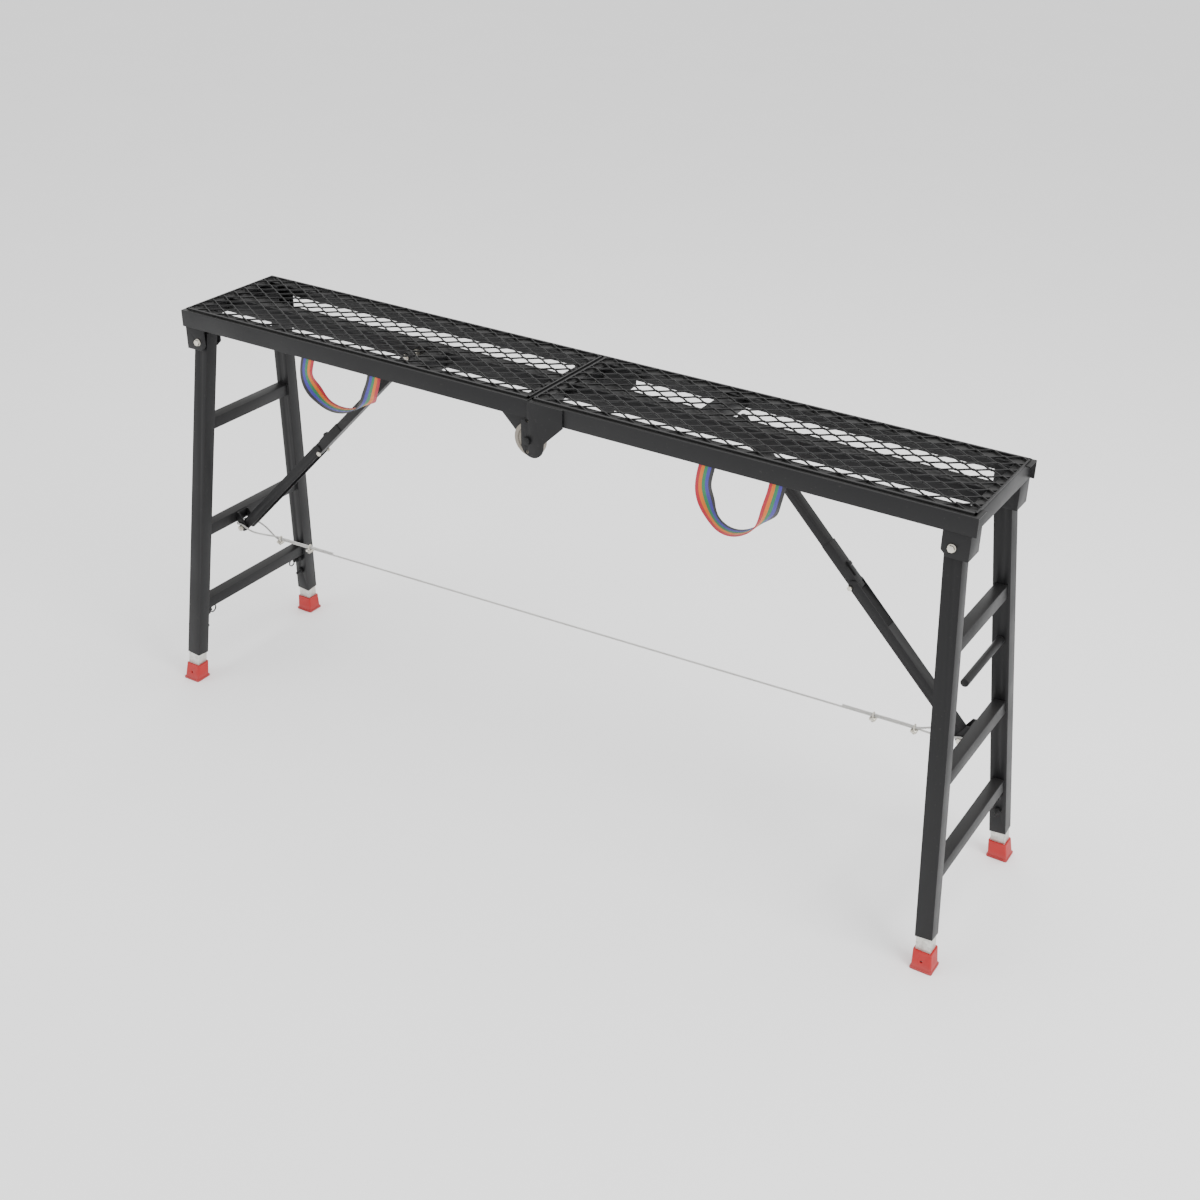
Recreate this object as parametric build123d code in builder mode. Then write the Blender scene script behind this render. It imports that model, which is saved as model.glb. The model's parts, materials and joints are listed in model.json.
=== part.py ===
"""Folding trestle work platform: a two-part mesh deck on two splayed folding leg frames.

Frame: X along the deck, Y from front to rear, Z up, floor at Z = 0, origin under the deck's middle.
The right half is modelled and the left half is the same half turned 180 degrees about Z.
"""
from build123d import *
import os
from math import atan2, cos, degrees, hypot, radians, sin, tan

os.makedirs("parts", exist_ok=True)

# ---------------------------------------------------------------- driving dimensions (mm, degrees)
DECK_LENGTH = 2000.0
DECK_WIDTH = 315.0
DECK_TOP = 1005.0          # top of the rails above the floor
JOINT_GAP = 3.0            # gap between the two deck halves

RAIL_HEIGHT = 40.0
RAIL_FLANGE = 40.0
RAIL_WALL = 3.0
END_SET_IN = 9.0           # rails run this far past the end channel
CROSS_FLANGE = 24.0
CROSS_WALL = 3.0
STRINGER_WIDTH = 40.0
STRINGER_WALL = 2.5
MID_CROSS_REACH = 619.0    # short cross member, inwards of the leg pivot
MID_CROSS_WIDTH = 38.0

MESH_THICKNESS = 6.0
MESH_WIDTH = 296.0
MESH_PITCH_X = 59.4
MESH_ROWS = 8
MESH_STRAND = 3.2
MESH_EDGE = 4.0

PIVOT_INSET = 44.0         # leg pivot in from the deck's end
PIVOT_DROP = 72.0          # leg pivot below the deck top
LEAN = 5.08                # stiles lean outwards along X
SPLAY = 0.0996             # stiles spread in Y per unit of height
STILE_Y = 129.9            # stile centre line at the pivot
STILE_DEPTH = 38.0
STILE_WIDTH = 34.0
STILE_WALL = 2.0
STILE_HEAD = 22.0          # stile above its pivot
STILE_LENGTH = 860.0       # pivot to the stile's foot, down the frame
BRACKET_DROP = 53.0
BRACKET_HALF = 28.5
BRACKET_WALL = 3.0
BRACKET_BEVEL = 13.0
BRACKET_INNER_Y = 106.0    # outer face of the inner ear
PIVOT_BOLT_R = 5.0
RUNNING = 0.1              # radial clearance of a pin in its hole

RUNG_CENTRES = (219.0, 509.0, 722.0)   # down the frame from the pivot
RUNG_HEIGHT = 30.0
RUNG_DEPTH = 28.0
RUNG_WALL = 1.5

INNER_LEG_CLEARANCE = 0.4
INNER_LEG_WALL = 1.5
INNER_LEG_TOP = 540.0      # inner leg's upper end, down the frame
INNER_LEG_HOLES = 6
HOLE_STEP = 40.0
HOLE_R = 4.5
FOOT_HEIGHT = 45.0
FOOT_BASE = (50.0, 46.0)
FOOT_TOP = (42.0, 38.5)
FOOT_LIP = 5.0
FOOT_SOLE = 9.0

PIN_DROP = 752.0           # lock pin, down the frame from the pivot
SCREW_DROP = 797.0
PIN_R = 4.0
PIN_BARREL_R = 7.0

LANE_Y = 49.0              # brace lane, beside the centre stringer
BRACE_REACH = 556.0        # brace's upper pivot, inwards of the leg pivot
BRACE_TOP_DROP = 20.0
BRACE_FOOT_DROP = 532.0    # brace foot pivot, down the frame
BRACE_FOOT_REACH = 36.0    # and inwards of the frame's centre plane
KNEE_OFFSET = 10.0
UPPER_LINK = (22.0, 21.0)  # width in Y, depth
UPPER_LINK_WALL = 1.5
SLEEVE_WALL = 1.5
SLEEVE_LENGTH = 105.0
LOWER_LINK_WALL = 2.2
LOWER_LINK_DEPTH = 24.0
LOWER_LINK_OPEN = 112.0    # the web starts this far below the knee
LINK_SIDE_GAP = 0.5
BRACE_PIN_R = 4.0

HINGE_DROP = 90.0          # deck hinge axis below the deck top
HINGE_PLATE = 3.0
HINGE_PLATE_LENGTH = 89.0
HINGE_PLATE_DEPTH = 127.0
HINGE_LANE = 20.0          # room between an outer and an inner plate
HINGE_BOLT_R = 5.0
WHEEL_R = 38.5
WHEEL_WIDTH = 16.0

ROPE_R = 2.2
ROPE_Z = 383.0
EYE_NECK = 84.0            # rope neck, tail end and clips, inwards of the leg pivot
TAIL_END = 262.0
CLIPS = (95.0, 189.0)
CLIP_WIRE_R = 1.9
STRAP_WIDTH = 32.0
STRAP_THICKNESS = 2.4
PEG_R = 9.0
PEG_DROP = 340.0
PEG_TIP_Y = -58.0

# ---------------------------------------------------------------- derived places
PIVOT_X = DECK_LENGTH / 2 - PIVOT_INSET
BRACE_TOP_X = PIVOT_X - BRACE_REACH
MID_CROSS_X = PIVOT_X - MID_CROSS_REACH
half_width = DECK_WIDTH / 2
half_length = DECK_LENGTH / 2
rail_bottom = DECK_TOP - RAIL_HEIGHT
flange_bottom = DECK_TOP - RAIL_WALL
inner_face_y = half_width - RAIL_WALL
end_face_x = half_length - END_SET_IN
joint_x = JOINT_GAP / 2
pivot_z = DECK_TOP - PIVOT_DROP
lean = radians(LEAN)
spread = SPLAY * cos(lean)
splay = atan2(spread, 1.0)
frame_plane = Plane(
    origin=(PIVOT_X, 0, pivot_z), x_dir=(0, 1, 0), z_dir=(-cos(lean), 0, -sin(lean))
)


def down_frame(drop, reach=0.0):
    """X and Z of a point in the right leg frame: drop down the frame, reach inwards."""
    return (
        PIVOT_X + drop * sin(lean) - reach * cos(lean),
        pivot_z - drop * cos(lean) - reach * sin(lean),
    )


def stile_y(drop):
    """Distance of a stile's centre line from the middle plane."""
    return STILE_Y + drop * spread


stile_half_y = STILE_WIDTH / 2 / cos(splay)


def stile_face(way, drop, depth=0.0):
    """Plane on a stile's inner face, looking inwards; depth moves it into the stile."""
    square = (sin(splay) * sin(lean), -way * cos(splay), -sin(splay) * cos(lean))
    place = frame_plane.from_local_coords((way * (stile_y(drop) - stile_half_y), drop, 0))
    return Plane(origin=place, x_dir=(cos(lean), 0, sin(lean)), z_dir=square).offset(-depth)


# Brace geometry: straight between its two pivots when open, flat under the deck when folded.
brace_top = (BRACE_TOP_X, DECK_TOP - BRACE_TOP_DROP)
brace_foot = down_frame(BRACE_FOOT_DROP, BRACE_FOOT_REACH)
folded_foot = (PIVOT_X - BRACE_FOOT_DROP, pivot_z + BRACE_FOOT_REACH)
run = hypot(brace_foot[0] - brace_top[0], brace_foot[1] - brace_top[1])
brace_angle = atan2(brace_top[1] - brace_foot[1], brace_foot[0] - brace_top[0])
along = (cos(brace_angle), -sin(brace_angle))
inward = (-sin(brace_angle), -cos(brace_angle))
gap_x = brace_top[0] - folded_foot[0]
gap_z = brace_top[1] - KNEE_OFFSET - folded_foot[1]
knee_run = (run**2 + KNEE_OFFSET**2 - gap_x**2 - gap_z**2) / (2 * (gap_x + run))
knee = (
    brace_top[0] + knee_run * along[0] + KNEE_OFFSET * inward[0],
    brace_top[1] + knee_run * along[1] + KNEE_OFFSET * inward[1],
)
sleeve_half = UPPER_LINK[0] / 2 + SLEEVE_WALL
lower_inner_half = sleeve_half + LINK_SIDE_GAP
lower_half = lower_inner_half + LOWER_LINK_WALL
brace_plane = Plane(
    origin=(brace_top[0], LANE_Y, brace_top[1]),
    x_dir=(along[0], 0, along[1]),
    z_dir=(0, 1, 0),
)

hinge_z = DECK_TOP - HINGE_DROP
plate_y = half_width + HINGE_PLATE
inner_plate_y = half_width - HINGE_LANE


def save(solids, label):
    """Label one finished piece and write it as its own file."""
    solids.label = label
    export_step(solids, f"parts/{label}.step")


def save_halves(solids, label, front_rear=None):
    """Write the right-hand piece, and the same piece turned half round for the left."""
    turned = solids.rotate(Axis.Z, 180)
    if front_rear is None:
        save(solids, f"{label}_right")
        save(turned, f"{label}_left")
    else:
        other = "rear" if front_rear == "front" else "front"
        save(solids, f"{front_rear}_{label}_right")
        save(turned, f"{other}_{label}_left")


def block(low, high):
    """A box between two corners, in the builder that is open."""
    size = [b - a for a, b in zip(low, high)]
    with Locations([tuple((a + b) / 2 for a, b in zip(low, high))]):
        Box(*size)


def hex_bolt(x, z, y_head, y_end, radius, head_r, head_h):
    """A bolt along Y with a hexagon head at y_head and its shank ending at y_end."""
    way = 1 if y_end > y_head else -1
    with BuildSketch(Plane(origin=(x, y_head, z), x_dir=(1, 0, 0), z_dir=(0, way, 0))) as head:
        RegularPolygon(head_r, 6)
    extrude(head.sketch, amount=head_h)
    with BuildSketch(Plane(origin=(x, y_head, z), x_dir=(1, 0, 0), z_dir=(0, way, 0))) as shank:
        Circle(radius)
    extrude(shank.sketch, amount=abs(y_end - y_head))


def nut(x, z, y_low, height, radius, bore):
    """A hexagon nut along Y that starts at y_low, bored to bore radius."""
    with BuildSketch(Plane(origin=(x, y_low, z), x_dir=(1, 0, 0), z_dir=(0, 1, 0))) as outline:
        RegularPolygon(radius, 6)
        Circle(bore, mode=Mode.SUBTRACT)
    extrude(outline.sketch, amount=height)


def ring(x, z, y_low, y_high, radius, bore):
    """A washer or spacer tube along Y."""
    with BuildSketch(Plane(origin=(x, y_low, z), x_dir=(1, 0, 0), z_dir=(0, 1, 0))) as outline:
        Circle(radius)
        Circle(bore, mode=Mode.SUBTRACT)
    extrude(outline.sketch, amount=y_high - y_low)


# ---------------------------------------------------------------- deck frame
for end, way in (("front", -1), ("rear", 1)):
    with BuildPart() as rail:
        with BuildSketch(Plane(origin=(joint_x, 0, 0), x_dir=(0, 1, 0), z_dir=(1, 0, 0))):
            with BuildLine():
                Polyline(
                    (way * half_width, rail_bottom),
                    (way * half_width, DECK_TOP),
                    (way * (half_width - RAIL_FLANGE), DECK_TOP),
                    (way * (half_width - RAIL_FLANGE), flange_bottom),
                    (way * inner_face_y, flange_bottom),
                    (way * inner_face_y, rail_bottom),
                    close=True,
                )
            make_face()
        extrude(amount=half_length - joint_x)
        fillet(
            rail.edges().filter_by(Axis.X).sort_by(Axis.Z)[-2:].sort_by(Axis.Y)[0 if way < 0 else -1],
            radius=2.0,
        )
    save_halves(rail.part, "rail", end)

flange_half = half_width - RAIL_FLANGE
mid_cross_low = MID_CROSS_X - MID_CROSS_WIDTH / 2
mid_cross_high = MID_CROSS_X + MID_CROSS_WIDTH / 2
with BuildPart() as cross_members:
    # end channel: web outwards, flange inwards at deck level
    block((end_face_x - CROSS_WALL, -inner_face_y, rail_bottom), (end_face_x, inner_face_y, flange_bottom))
    block((end_face_x - CROSS_FLANGE, -flange_half, flange_bottom), (end_face_x, flange_half, DECK_TOP))
    # joint channel beside the middle of the deck
    block((joint_x, -inner_face_y, rail_bottom), (joint_x + CROSS_WALL, inner_face_y, flange_bottom))
    block((joint_x, -flange_half, flange_bottom), (joint_x + CROSS_FLANGE, flange_half, DECK_TOP))
    # short cross member from the stringer to the rear rail, open underneath
    block((mid_cross_low, STRINGER_WIDTH / 2, rail_bottom), (mid_cross_high, inner_face_y, flange_bottom))
    with Locations([(MID_CROSS_X, (STRINGER_WIDTH / 2 + inner_face_y) / 2, rail_bottom)]):
        Box(
            MID_CROSS_WIDTH - 2 * STRINGER_WALL,
            inner_face_y - STRINGER_WIDTH / 2,
            2 * (flange_bottom - rail_bottom - STRINGER_WALL),
            mode=Mode.SUBTRACT,
        )
save_halves(cross_members.part, "cross_members")

stringer_start = joint_x + CROSS_WALL
stringer_end = end_face_x - CROSS_WALL
with BuildPart() as stringer:
    half = STRINGER_WIDTH / 2
    block((stringer_start, -half, rail_bottom), (stringer_end, half, flange_bottom))
    with Locations([((stringer_start + stringer_end) / 2, 0, rail_bottom)]):
        Box(
            stringer_end - stringer_start,
            STRINGER_WIDTH - 2 * STRINGER_WALL,
            2 * (flange_bottom - rail_bottom - STRINGER_WALL),
            mode=Mode.SUBTRACT,
        )
    with Locations(Plane(origin=(brace_top[0], half, brace_top[1]), z_dir=(0, 1, 0))):
        Hole(BRACE_PIN_R + RUNNING, depth=2 * STRINGER_WALL)
save_halves(stringer.part, "centre_stringer")

mesh_start = joint_x + CROSS_WALL
mesh_length = end_face_x - mesh_start
row_pitch = (MESH_WIDTH - 2 * MESH_EDGE) / MESH_ROWS
hole_x = MESH_PITCH_X / 2 - MESH_STRAND
hole_y = row_pitch / 2 - MESH_STRAND * row_pitch / MESH_PITCH_X
columns = int((mesh_length - 2 * MESH_EDGE) // MESH_PITCH_X)
first_x = mesh_start + (mesh_length - columns * MESH_PITCH_X) / 2
centres = []
for column in range(2 * columns - 1):
    rows = MESH_ROWS - column % 2
    for row in range(rows):
        centres.append(
            (
                first_x + (column + 1) * MESH_PITCH_X / 2,
                (row - (rows - 1) / 2) * row_pitch,
            )
        )
with BuildPart() as deck_mesh:
    with BuildSketch(Plane.XY.offset(DECK_TOP)):
        with Locations([(mesh_start + mesh_length / 2, 0)]):
            Rectangle(mesh_length, MESH_WIDTH)
        with Locations(centres):
            Polygon(
                (-hole_x, 0), (0, -hole_y), (hole_x, 0), (0, hole_y),
                align=None, mode=Mode.SUBTRACT,
            )
    extrude(amount=MESH_THICKNESS)
save_halves(deck_mesh.part, "deck_mesh")

# ---------------------------------------------------------------- leg brackets and pivot bolts
bracket_bottom = rail_bottom - BRACKET_DROP
bracket_start = end_face_x - 2 * BRACKET_HALF
ear_plane = Plane(origin=(0, 0, 0), x_dir=(1, 0, 0), z_dir=(0, -1, 0))


def bracket_ear(y_face, top):
    """One ear, BRACKET_WALL thick towards the middle from y_face, with bevelled lower corners."""
    way = 1 if y_face > 0 else -1
    with BuildSketch(ear_plane.offset(-y_face)) as ear:
        with BuildLine():
            Polyline(
                (bracket_start, top),
                (bracket_start, bracket_bottom + BRACKET_BEVEL),
                (bracket_start + BRACKET_BEVEL, bracket_bottom),
                (end_face_x - CROSS_WALL, bracket_bottom),
                (end_face_x - CROSS_WALL, top),
                close=True,
            )
        make_face()
        with Locations([(PIVOT_X, pivot_z)]):
            Circle(PIVOT_BOLT_R + RUNNING, mode=Mode.SUBTRACT)
    extrude(ear.sketch, amount=way * BRACKET_WALL)


with BuildPart() as leg_brackets:
    for way in (-1, 1):
        bracket_ear(way * half_width, rail_bottom)
        bracket_ear(way * BRACKET_INNER_Y, flange_bottom)
        low_y, high_y = sorted((way * half_width, way * (BRACKET_INNER_Y - BRACKET_WALL)))
        block(
            (end_face_x - CROSS_WALL, low_y, bracket_bottom),
            (end_face_x, high_y, rail_bottom),
        )
save_halves(leg_brackets.part, "leg_brackets")

head_h = 5.5
with BuildPart() as pivot_bolts:
    for way in (-1, 1):
        outer = half_width + 1.5
        inner = BRACKET_INNER_Y - BRACKET_WALL
        hex_bolt(PIVOT_X, pivot_z, way * (outer + head_h), way * (inner - 9), PIVOT_BOLT_R, 7.6, head_h)
        low_y, high_y = sorted((way * half_width, way * outer))
        ring(PIVOT_X, pivot_z, low_y, high_y, 8.6, PIVOT_BOLT_R)
        low_y, high_y = sorted((way * (half_width - RAIL_WALL), way * (STILE_Y + stile_half_y + 1.2)))
        ring(PIVOT_X, pivot_z, low_y, high_y, 8.0, PIVOT_BOLT_R)
        low_y, high_y = sorted((way * BRACKET_INNER_Y, way * (STILE_Y - stile_half_y - 1.2)))
        ring(PIVOT_X, pivot_z, low_y, high_y, 8.0, PIVOT_BOLT_R)
        nut(PIVOT_X, pivot_z, min(way * inner, way * (inner - 7)), 7.0, 9.0, PIVOT_BOLT_R)
    # bolt that carries the brace beside the stringer
    hex_bolt(*brace_top, LANE_Y + UPPER_LINK[0] / 2 + 1 + 4, 8.0, BRACE_PIN_R, 7.5, 4.0)
    ring(*brace_top, STRINGER_WIDTH / 2, LANE_Y - UPPER_LINK[0] / 2 - 0.5, 7.5, BRACE_PIN_R)
    nut(*brace_top, STRINGER_WIDTH / 2 - STRINGER_WALL - 6, 6.0, 7.0, BRACE_PIN_R)
save_halves(pivot_bolts.part, "pivot_bolts")

# ---------------------------------------------------------------- deck hinge and its wheels
lobe_x, lobe_r = 12.0, 28.0
lobe_z = DECK_TOP - HINGE_PLATE_DEPTH + lobe_r
shoulder = (41.0, DECK_TOP - HINGE_DROP + 1.0)
lock_hole_z = DECK_TOP - 44.0
spy_hole_z = DECK_TOP - 116.0


def hinge_outline(edge_x, top, flip):
    """Outline of a hinge plate, seen from the front; flip -1 draws it for the other half."""
    with BuildLine() as outline:
        Polyline(
            (flip * (lobe_x - lobe_r), lobe_z),
            (flip * (lobe_x - lobe_r), rail_bottom - 7),
            (flip * edge_x, rail_bottom),
            (flip * edge_x, top),
            (flip * HINGE_PLATE_LENGTH, top),
            (flip * HINGE_PLATE_LENGTH, rail_bottom - 2.5),
            (flip * shoulder[0], shoulder[1]),
            (flip * (lobe_x + lobe_r), lobe_z),
        )
        ThreePointArc(
            (flip * (lobe_x + lobe_r), lobe_z),
            (flip * lobe_x, lobe_z - lobe_r),
            (flip * (lobe_x - lobe_r), lobe_z),
        )
    make_face(outline.edges())


with BuildPart() as hinge_plates:
    # front plate, on the outside of the rail
    with BuildSketch(ear_plane.offset(plate_y)):
        hinge_outline(-0.5, DECK_TOP - 1.0, 1)
        with Locations([(0, hinge_z)]):
            Circle(HINGE_BOLT_R + RUNNING, mode=Mode.SUBTRACT)
        with Locations([(-1.0, lock_hole_z), (-1.0, spy_hole_z)]):
            Circle(4.5, mode=Mode.SUBTRACT)
    extrude(amount=-HINGE_PLATE)
    # rear plate, set in behind the rail to leave room for the wheel
    with BuildSketch(ear_plane.offset(-inner_plate_y)):
        hinge_outline(joint_x + CROSS_WALL, flange_bottom, 1)
        with Locations([(0, hinge_z)]):
            Circle(HINGE_BOLT_R + RUNNING, mode=Mode.SUBTRACT)
        with Locations([(1.0, lock_hole_z)]):
            Circle(4.5, mode=Mode.SUBTRACT)
    extrude(amount=HINGE_PLATE)
save_halves(hinge_plates.part, "hinge_plates")

with BuildPart() as hinge_bolts:
    for way in (-1, 1):
        hex_bolt(0, hinge_z, way * (plate_y + 6), way * (inner_plate_y - HINGE_PLATE - 11), HINGE_BOLT_R, 9.0, 6.0)
        low_y, high_y = sorted((way * half_width, way * (half_width - 1.7)))
        ring(0, hinge_z, low_y, high_y, 10.0, HINGE_BOLT_R)
        low_y, high_y = sorted((way * inner_plate_y, way * (inner_plate_y + 1.7)))
        ring(0, hinge_z, low_y, high_y, 10.0, HINGE_BOLT_R)
        nut_y = way * (inner_plate_y - HINGE_PLATE)
        nut(0, hinge_z, min(nut_y, nut_y - way * 8), 8.0, 9.0, HINGE_BOLT_R)
save(hinge_bolts.part, "hinge_bolts")

wheel_mid_y = (half_width + inner_plate_y) / 2
for end, way in (("front", -1), ("rear", 1)):
    with BuildPart() as wheel:
        with BuildSketch(Plane(origin=(0, way * wheel_mid_y - WHEEL_WIDTH / 2, hinge_z),
                               x_dir=(1, 0, 0), z_dir=(0, 1, 0))):
            Circle(WHEEL_R)
            Circle(HINGE_BOLT_R + RUNNING, mode=Mode.SUBTRACT)
        extrude(amount=WHEEL_WIDTH)
        fillet(wheel.edges().filter_by(GeomType.CIRCLE).sort_by(SortBy.RADIUS)[-2:], radius=2.0)
    save(wheel.part, f"wheel_{end}")

# ---------------------------------------------------------------- leg frames
stile_mid = (STILE_LENGTH - STILE_HEAD) / 2
stile_span = (STILE_LENGTH + STILE_HEAD) / cos(splay)
for end, way in (("front", -1), ("rear", 1)):
    tilt = -way * degrees(splay)
    with BuildPart() as stile:
        with BuildSketch(frame_plane):
            with Locations([(way * stile_y(stile_mid), stile_mid)]):
                Rectangle(STILE_WIDTH, stile_span, rotation=tilt)
        extrude(amount=STILE_DEPTH / 2, both=True)
        with BuildSketch(frame_plane):
            with Locations([(way * stile_y(stile_mid), stile_mid)]):
                Rectangle(STILE_WIDTH - 2 * STILE_WALL, stile_span, rotation=tilt)
        extrude(amount=STILE_DEPTH / 2 - STILE_WALL, both=True, mode=Mode.SUBTRACT)
        with BuildSketch(ear_plane):
            with Locations([(PIVOT_X, pivot_z)]):
                Circle(PIVOT_BOLT_R + RUNNING)
        extrude(amount=half_width, both=True, mode=Mode.SUBTRACT)
        # lock pin hole and screw hole through the inboard wall
        for drop, radius in ((PIN_DROP, PIN_R + RUNNING), (SCREW_DROP, PIN_R)):
            with Locations(stile_face(way, drop)):
                Hole(radius, depth=STILE_WALL * 2)
    save_halves(stile.part, "stile", end)

with BuildPart() as rungs:
    for centre in RUNG_CENTRES:
        upper, lower = centre - RUNG_HEIGHT / 2, centre + RUNG_HEIGHT / 2
        with BuildSketch(frame_plane):
            with BuildLine():
                Polyline(
                    (-(stile_y(upper) - stile_half_y), upper),
                    (stile_y(upper) - stile_half_y, upper),
                    (stile_y(lower) - stile_half_y, lower),
                    (-(stile_y(lower) - stile_half_y), lower),
                    close=True,
                )
            make_face()
        extrude(amount=RUNG_DEPTH / 2, both=True)
        with BuildSketch(frame_plane):
            with Locations([(0, centre)]):
                Rectangle(2 * stile_y(lower), RUNG_HEIGHT - 2 * RUNG_WALL)
        extrude(amount=RUNG_DEPTH / 2 - RUNG_WALL, both=True, mode=Mode.SUBTRACT)
save_halves(rungs.part, "rungs")

# brace bracket: a base on the middle rung and two ears that hang below it
ear_gap = lower_half + 0.6
ear_wall = 3.0
rung2 = RUNG_CENTRES[1]
side_plane = Plane(
    origin=(PIVOT_X, LANE_Y, pivot_z), x_dir=(sin(lean), 0, -cos(lean)), z_dir=(0, 1, 0)
)
with BuildPart() as brace_bracket:
    with BuildSketch(frame_plane.offset(RUNG_DEPTH / 2)):
        with Locations([(LANE_Y, rung2)]):
            Rectangle(2 * (ear_gap + ear_wall), RUNG_HEIGHT - 4)
    extrude(amount=ear_wall)
    for way in (-1, 1):
        with BuildSketch(side_plane.offset(way * (ear_gap + ear_wall / 2))):
            with BuildLine():
                Polyline(
                    (rung2 - RUNG_HEIGHT / 2 + 2, RUNG_DEPTH / 2),
                (rung2 - RUNG_HEIGHT / 2 + 2, RUNG_DEPTH / 2 + 9),
                (BRACE_FOOT_DROP - 6, BRACE_FOOT_REACH + 11),
                (BRACE_FOOT_DROP + 4, BRACE_FOOT_REACH + 11),
                (BRACE_FOOT_DROP + 12, BRACE_FOOT_REACH + 3),
                (BRACE_FOOT_DROP + 11, BRACE_FOOT_REACH - 6),
                (BRACE_FOOT_DROP + 2, BRACE_FOOT_REACH - 9),
                (rung2 + 4, RUNG_DEPTH / 2),
                close=True,
                )
            make_face()
            with Locations([(BRACE_FOOT_DROP, BRACE_FOOT_REACH)]):
                Circle(BRACE_PIN_R + RUNNING, mode=Mode.SUBTRACT)
        extrude(amount=ear_wall / 2, both=True)
save_halves(brace_bracket.part, "brace_bracket")

bolt_reach = ear_gap + ear_wall + 12.5
with BuildPart() as foot_bolt:
    head_y = LANE_Y - (ear_gap + ear_wall + 2 * ROPE_R + 5)
    hex_bolt(*brace_foot, head_y, LANE_Y + bolt_reach, BRACE_PIN_R, 7.5, 4.0)
    nut(*brace_foot, LANE_Y + bolt_reach - 6, 6.0, 7.5, BRACE_PIN_R)
save_halves(foot_bolt.part, "rope_bolt")

# ---------------------------------------------------------------- extending feet and their locks
inner_width = STILE_WIDTH - 2 * STILE_WALL - 2 * INNER_LEG_CLEARANCE
inner_depth = STILE_DEPTH - 2 * STILE_WALL - 2 * INNER_LEG_CLEARANCE
foot_drop = (pivot_z - FOOT_SOLE) / cos(lean)
inner_mid = (INNER_LEG_TOP + foot_drop) / 2
inner_span = (foot_drop - INNER_LEG_TOP) / cos(splay)
for end, way in (("front", -1), ("rear", 1)):
    tilt = -way * degrees(splay)
    with BuildPart() as inner_leg:
        with BuildSketch(frame_plane):
            with Locations([(way * stile_y(inner_mid), inner_mid)]):
                Rectangle(inner_width, inner_span, rotation=tilt)
        extrude(amount=inner_depth / 2, both=True)
        with BuildSketch(frame_plane):
            with Locations([(way * stile_y(inner_mid), inner_mid)]):
                Rectangle(inner_width - 2 * INNER_LEG_WALL, inner_span, rotation=tilt)
        extrude(amount=inner_depth / 2 - INNER_LEG_WALL, both=True, mode=Mode.SUBTRACT)
        # trim the lower end level with the foot's sole
        with Locations([(PIVOT_X + foot_drop * sin(lean), way * stile_y(foot_drop), FOOT_SOLE - 20)]):
            Box(3 * STILE_DEPTH, 3 * STILE_DEPTH, 40, mode=Mode.SUBTRACT)
        for index in range(INNER_LEG_HOLES):
            drop = PIN_DROP - index * HOLE_STEP
            with Locations(stile_face(way, drop, STILE_WALL)):
                Hole(HOLE_R, depth=6)
    save_halves(inner_leg.part, "inner_leg", end)

    foot_x = PIVOT_X + pivot_z / cos(lean) * sin(lean)
    foot_y = way * stile_y(pivot_z / cos(lean))
    rise_x = -FOOT_HEIGHT * tan(lean)
    rise_y = -way * FOOT_HEIGHT * SPLAY
    with BuildPart() as foot:
        with BuildSketch():
            with Locations([(foot_x, foot_y)]):
                RectangleRounded(FOOT_BASE[0], FOOT_BASE[1], 4)
        extrude(amount=FOOT_LIP)
        with BuildSketch(Plane.XY.offset(FOOT_LIP)):
            with Locations([(foot_x, foot_y)]):
                RectangleRounded(FOOT_BASE[0] - 5, FOOT_BASE[1] - 5, 4)
        with BuildSketch(Plane.XY.offset(FOOT_HEIGHT)):
            with Locations([(foot_x + rise_x, foot_y + rise_y)]):
                RectangleRounded(FOOT_TOP[0], FOOT_TOP[1], 4)
        loft()
        # screw hole in the outer face
        face_place = (foot_x + rise_x / 2, foot_y + rise_y / 2 + way * FOOT_BASE[1] / 2, FOOT_HEIGHT / 2)
        with Locations(Plane(origin=face_place, x_dir=(1, 0, 0), z_dir=(0, way, 0))):
            Hole(2.8, depth=9)
    with BuildPart() as socket:
        with BuildSketch(frame_plane):
            with Locations([(way * stile_y(inner_mid), inner_mid)]):
                Rectangle(inner_width + 0.2, inner_span + 200, rotation=tilt)
        extrude(amount=(inner_depth + 0.2) / 2, both=True)
        with Locations([(foot_x, foot_y, FOOT_SOLE - 100)]):
            Box(300, 300, 200, mode=Mode.SUBTRACT)
    save_halves(foot.part - socket.part, "foot", end)

    pin_face = stile_face(way, PIN_DROP)
    with BuildPart() as lock_pin:
        with BuildSketch(pin_face.offset(-STILE_WALL)):
            Circle(PIN_R)
        extrude(amount=STILE_WALL + 27)
        with BuildSketch(pin_face.offset(17)):
            Circle(PIN_BARREL_R - 1)
        extrude(amount=3)
        with BuildSketch(Plane(origin=pin_face.offset(34).origin, x_dir=pin_face.z_dir, z_dir=pin_face.x_dir)):
            Circle(11)
            Circle(8.5, mode=Mode.SUBTRACT)
        extrude(amount=1.3, both=True)
    save_halves(lock_pin.part, "lock_pin", end)

with BuildPart() as lock_screws:
    for way in (-1, 1):
        with BuildSketch(stile_face(way, PIN_DROP)):
            Circle(PIN_BARREL_R + 3)
            Circle(PIN_R + RUNNING, mode=Mode.SUBTRACT)
        extrude(amount=16)
        with BuildSketch(stile_face(way, SCREW_DROP)):
            RegularPolygon(8.5, 6)
        extrude(amount=7)
        with BuildSketch(stile_face(way, SCREW_DROP)):
            Circle(3.5)
        extrude(amount=20)
save_halves(lock_screws.part, "lock_screws")

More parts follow.
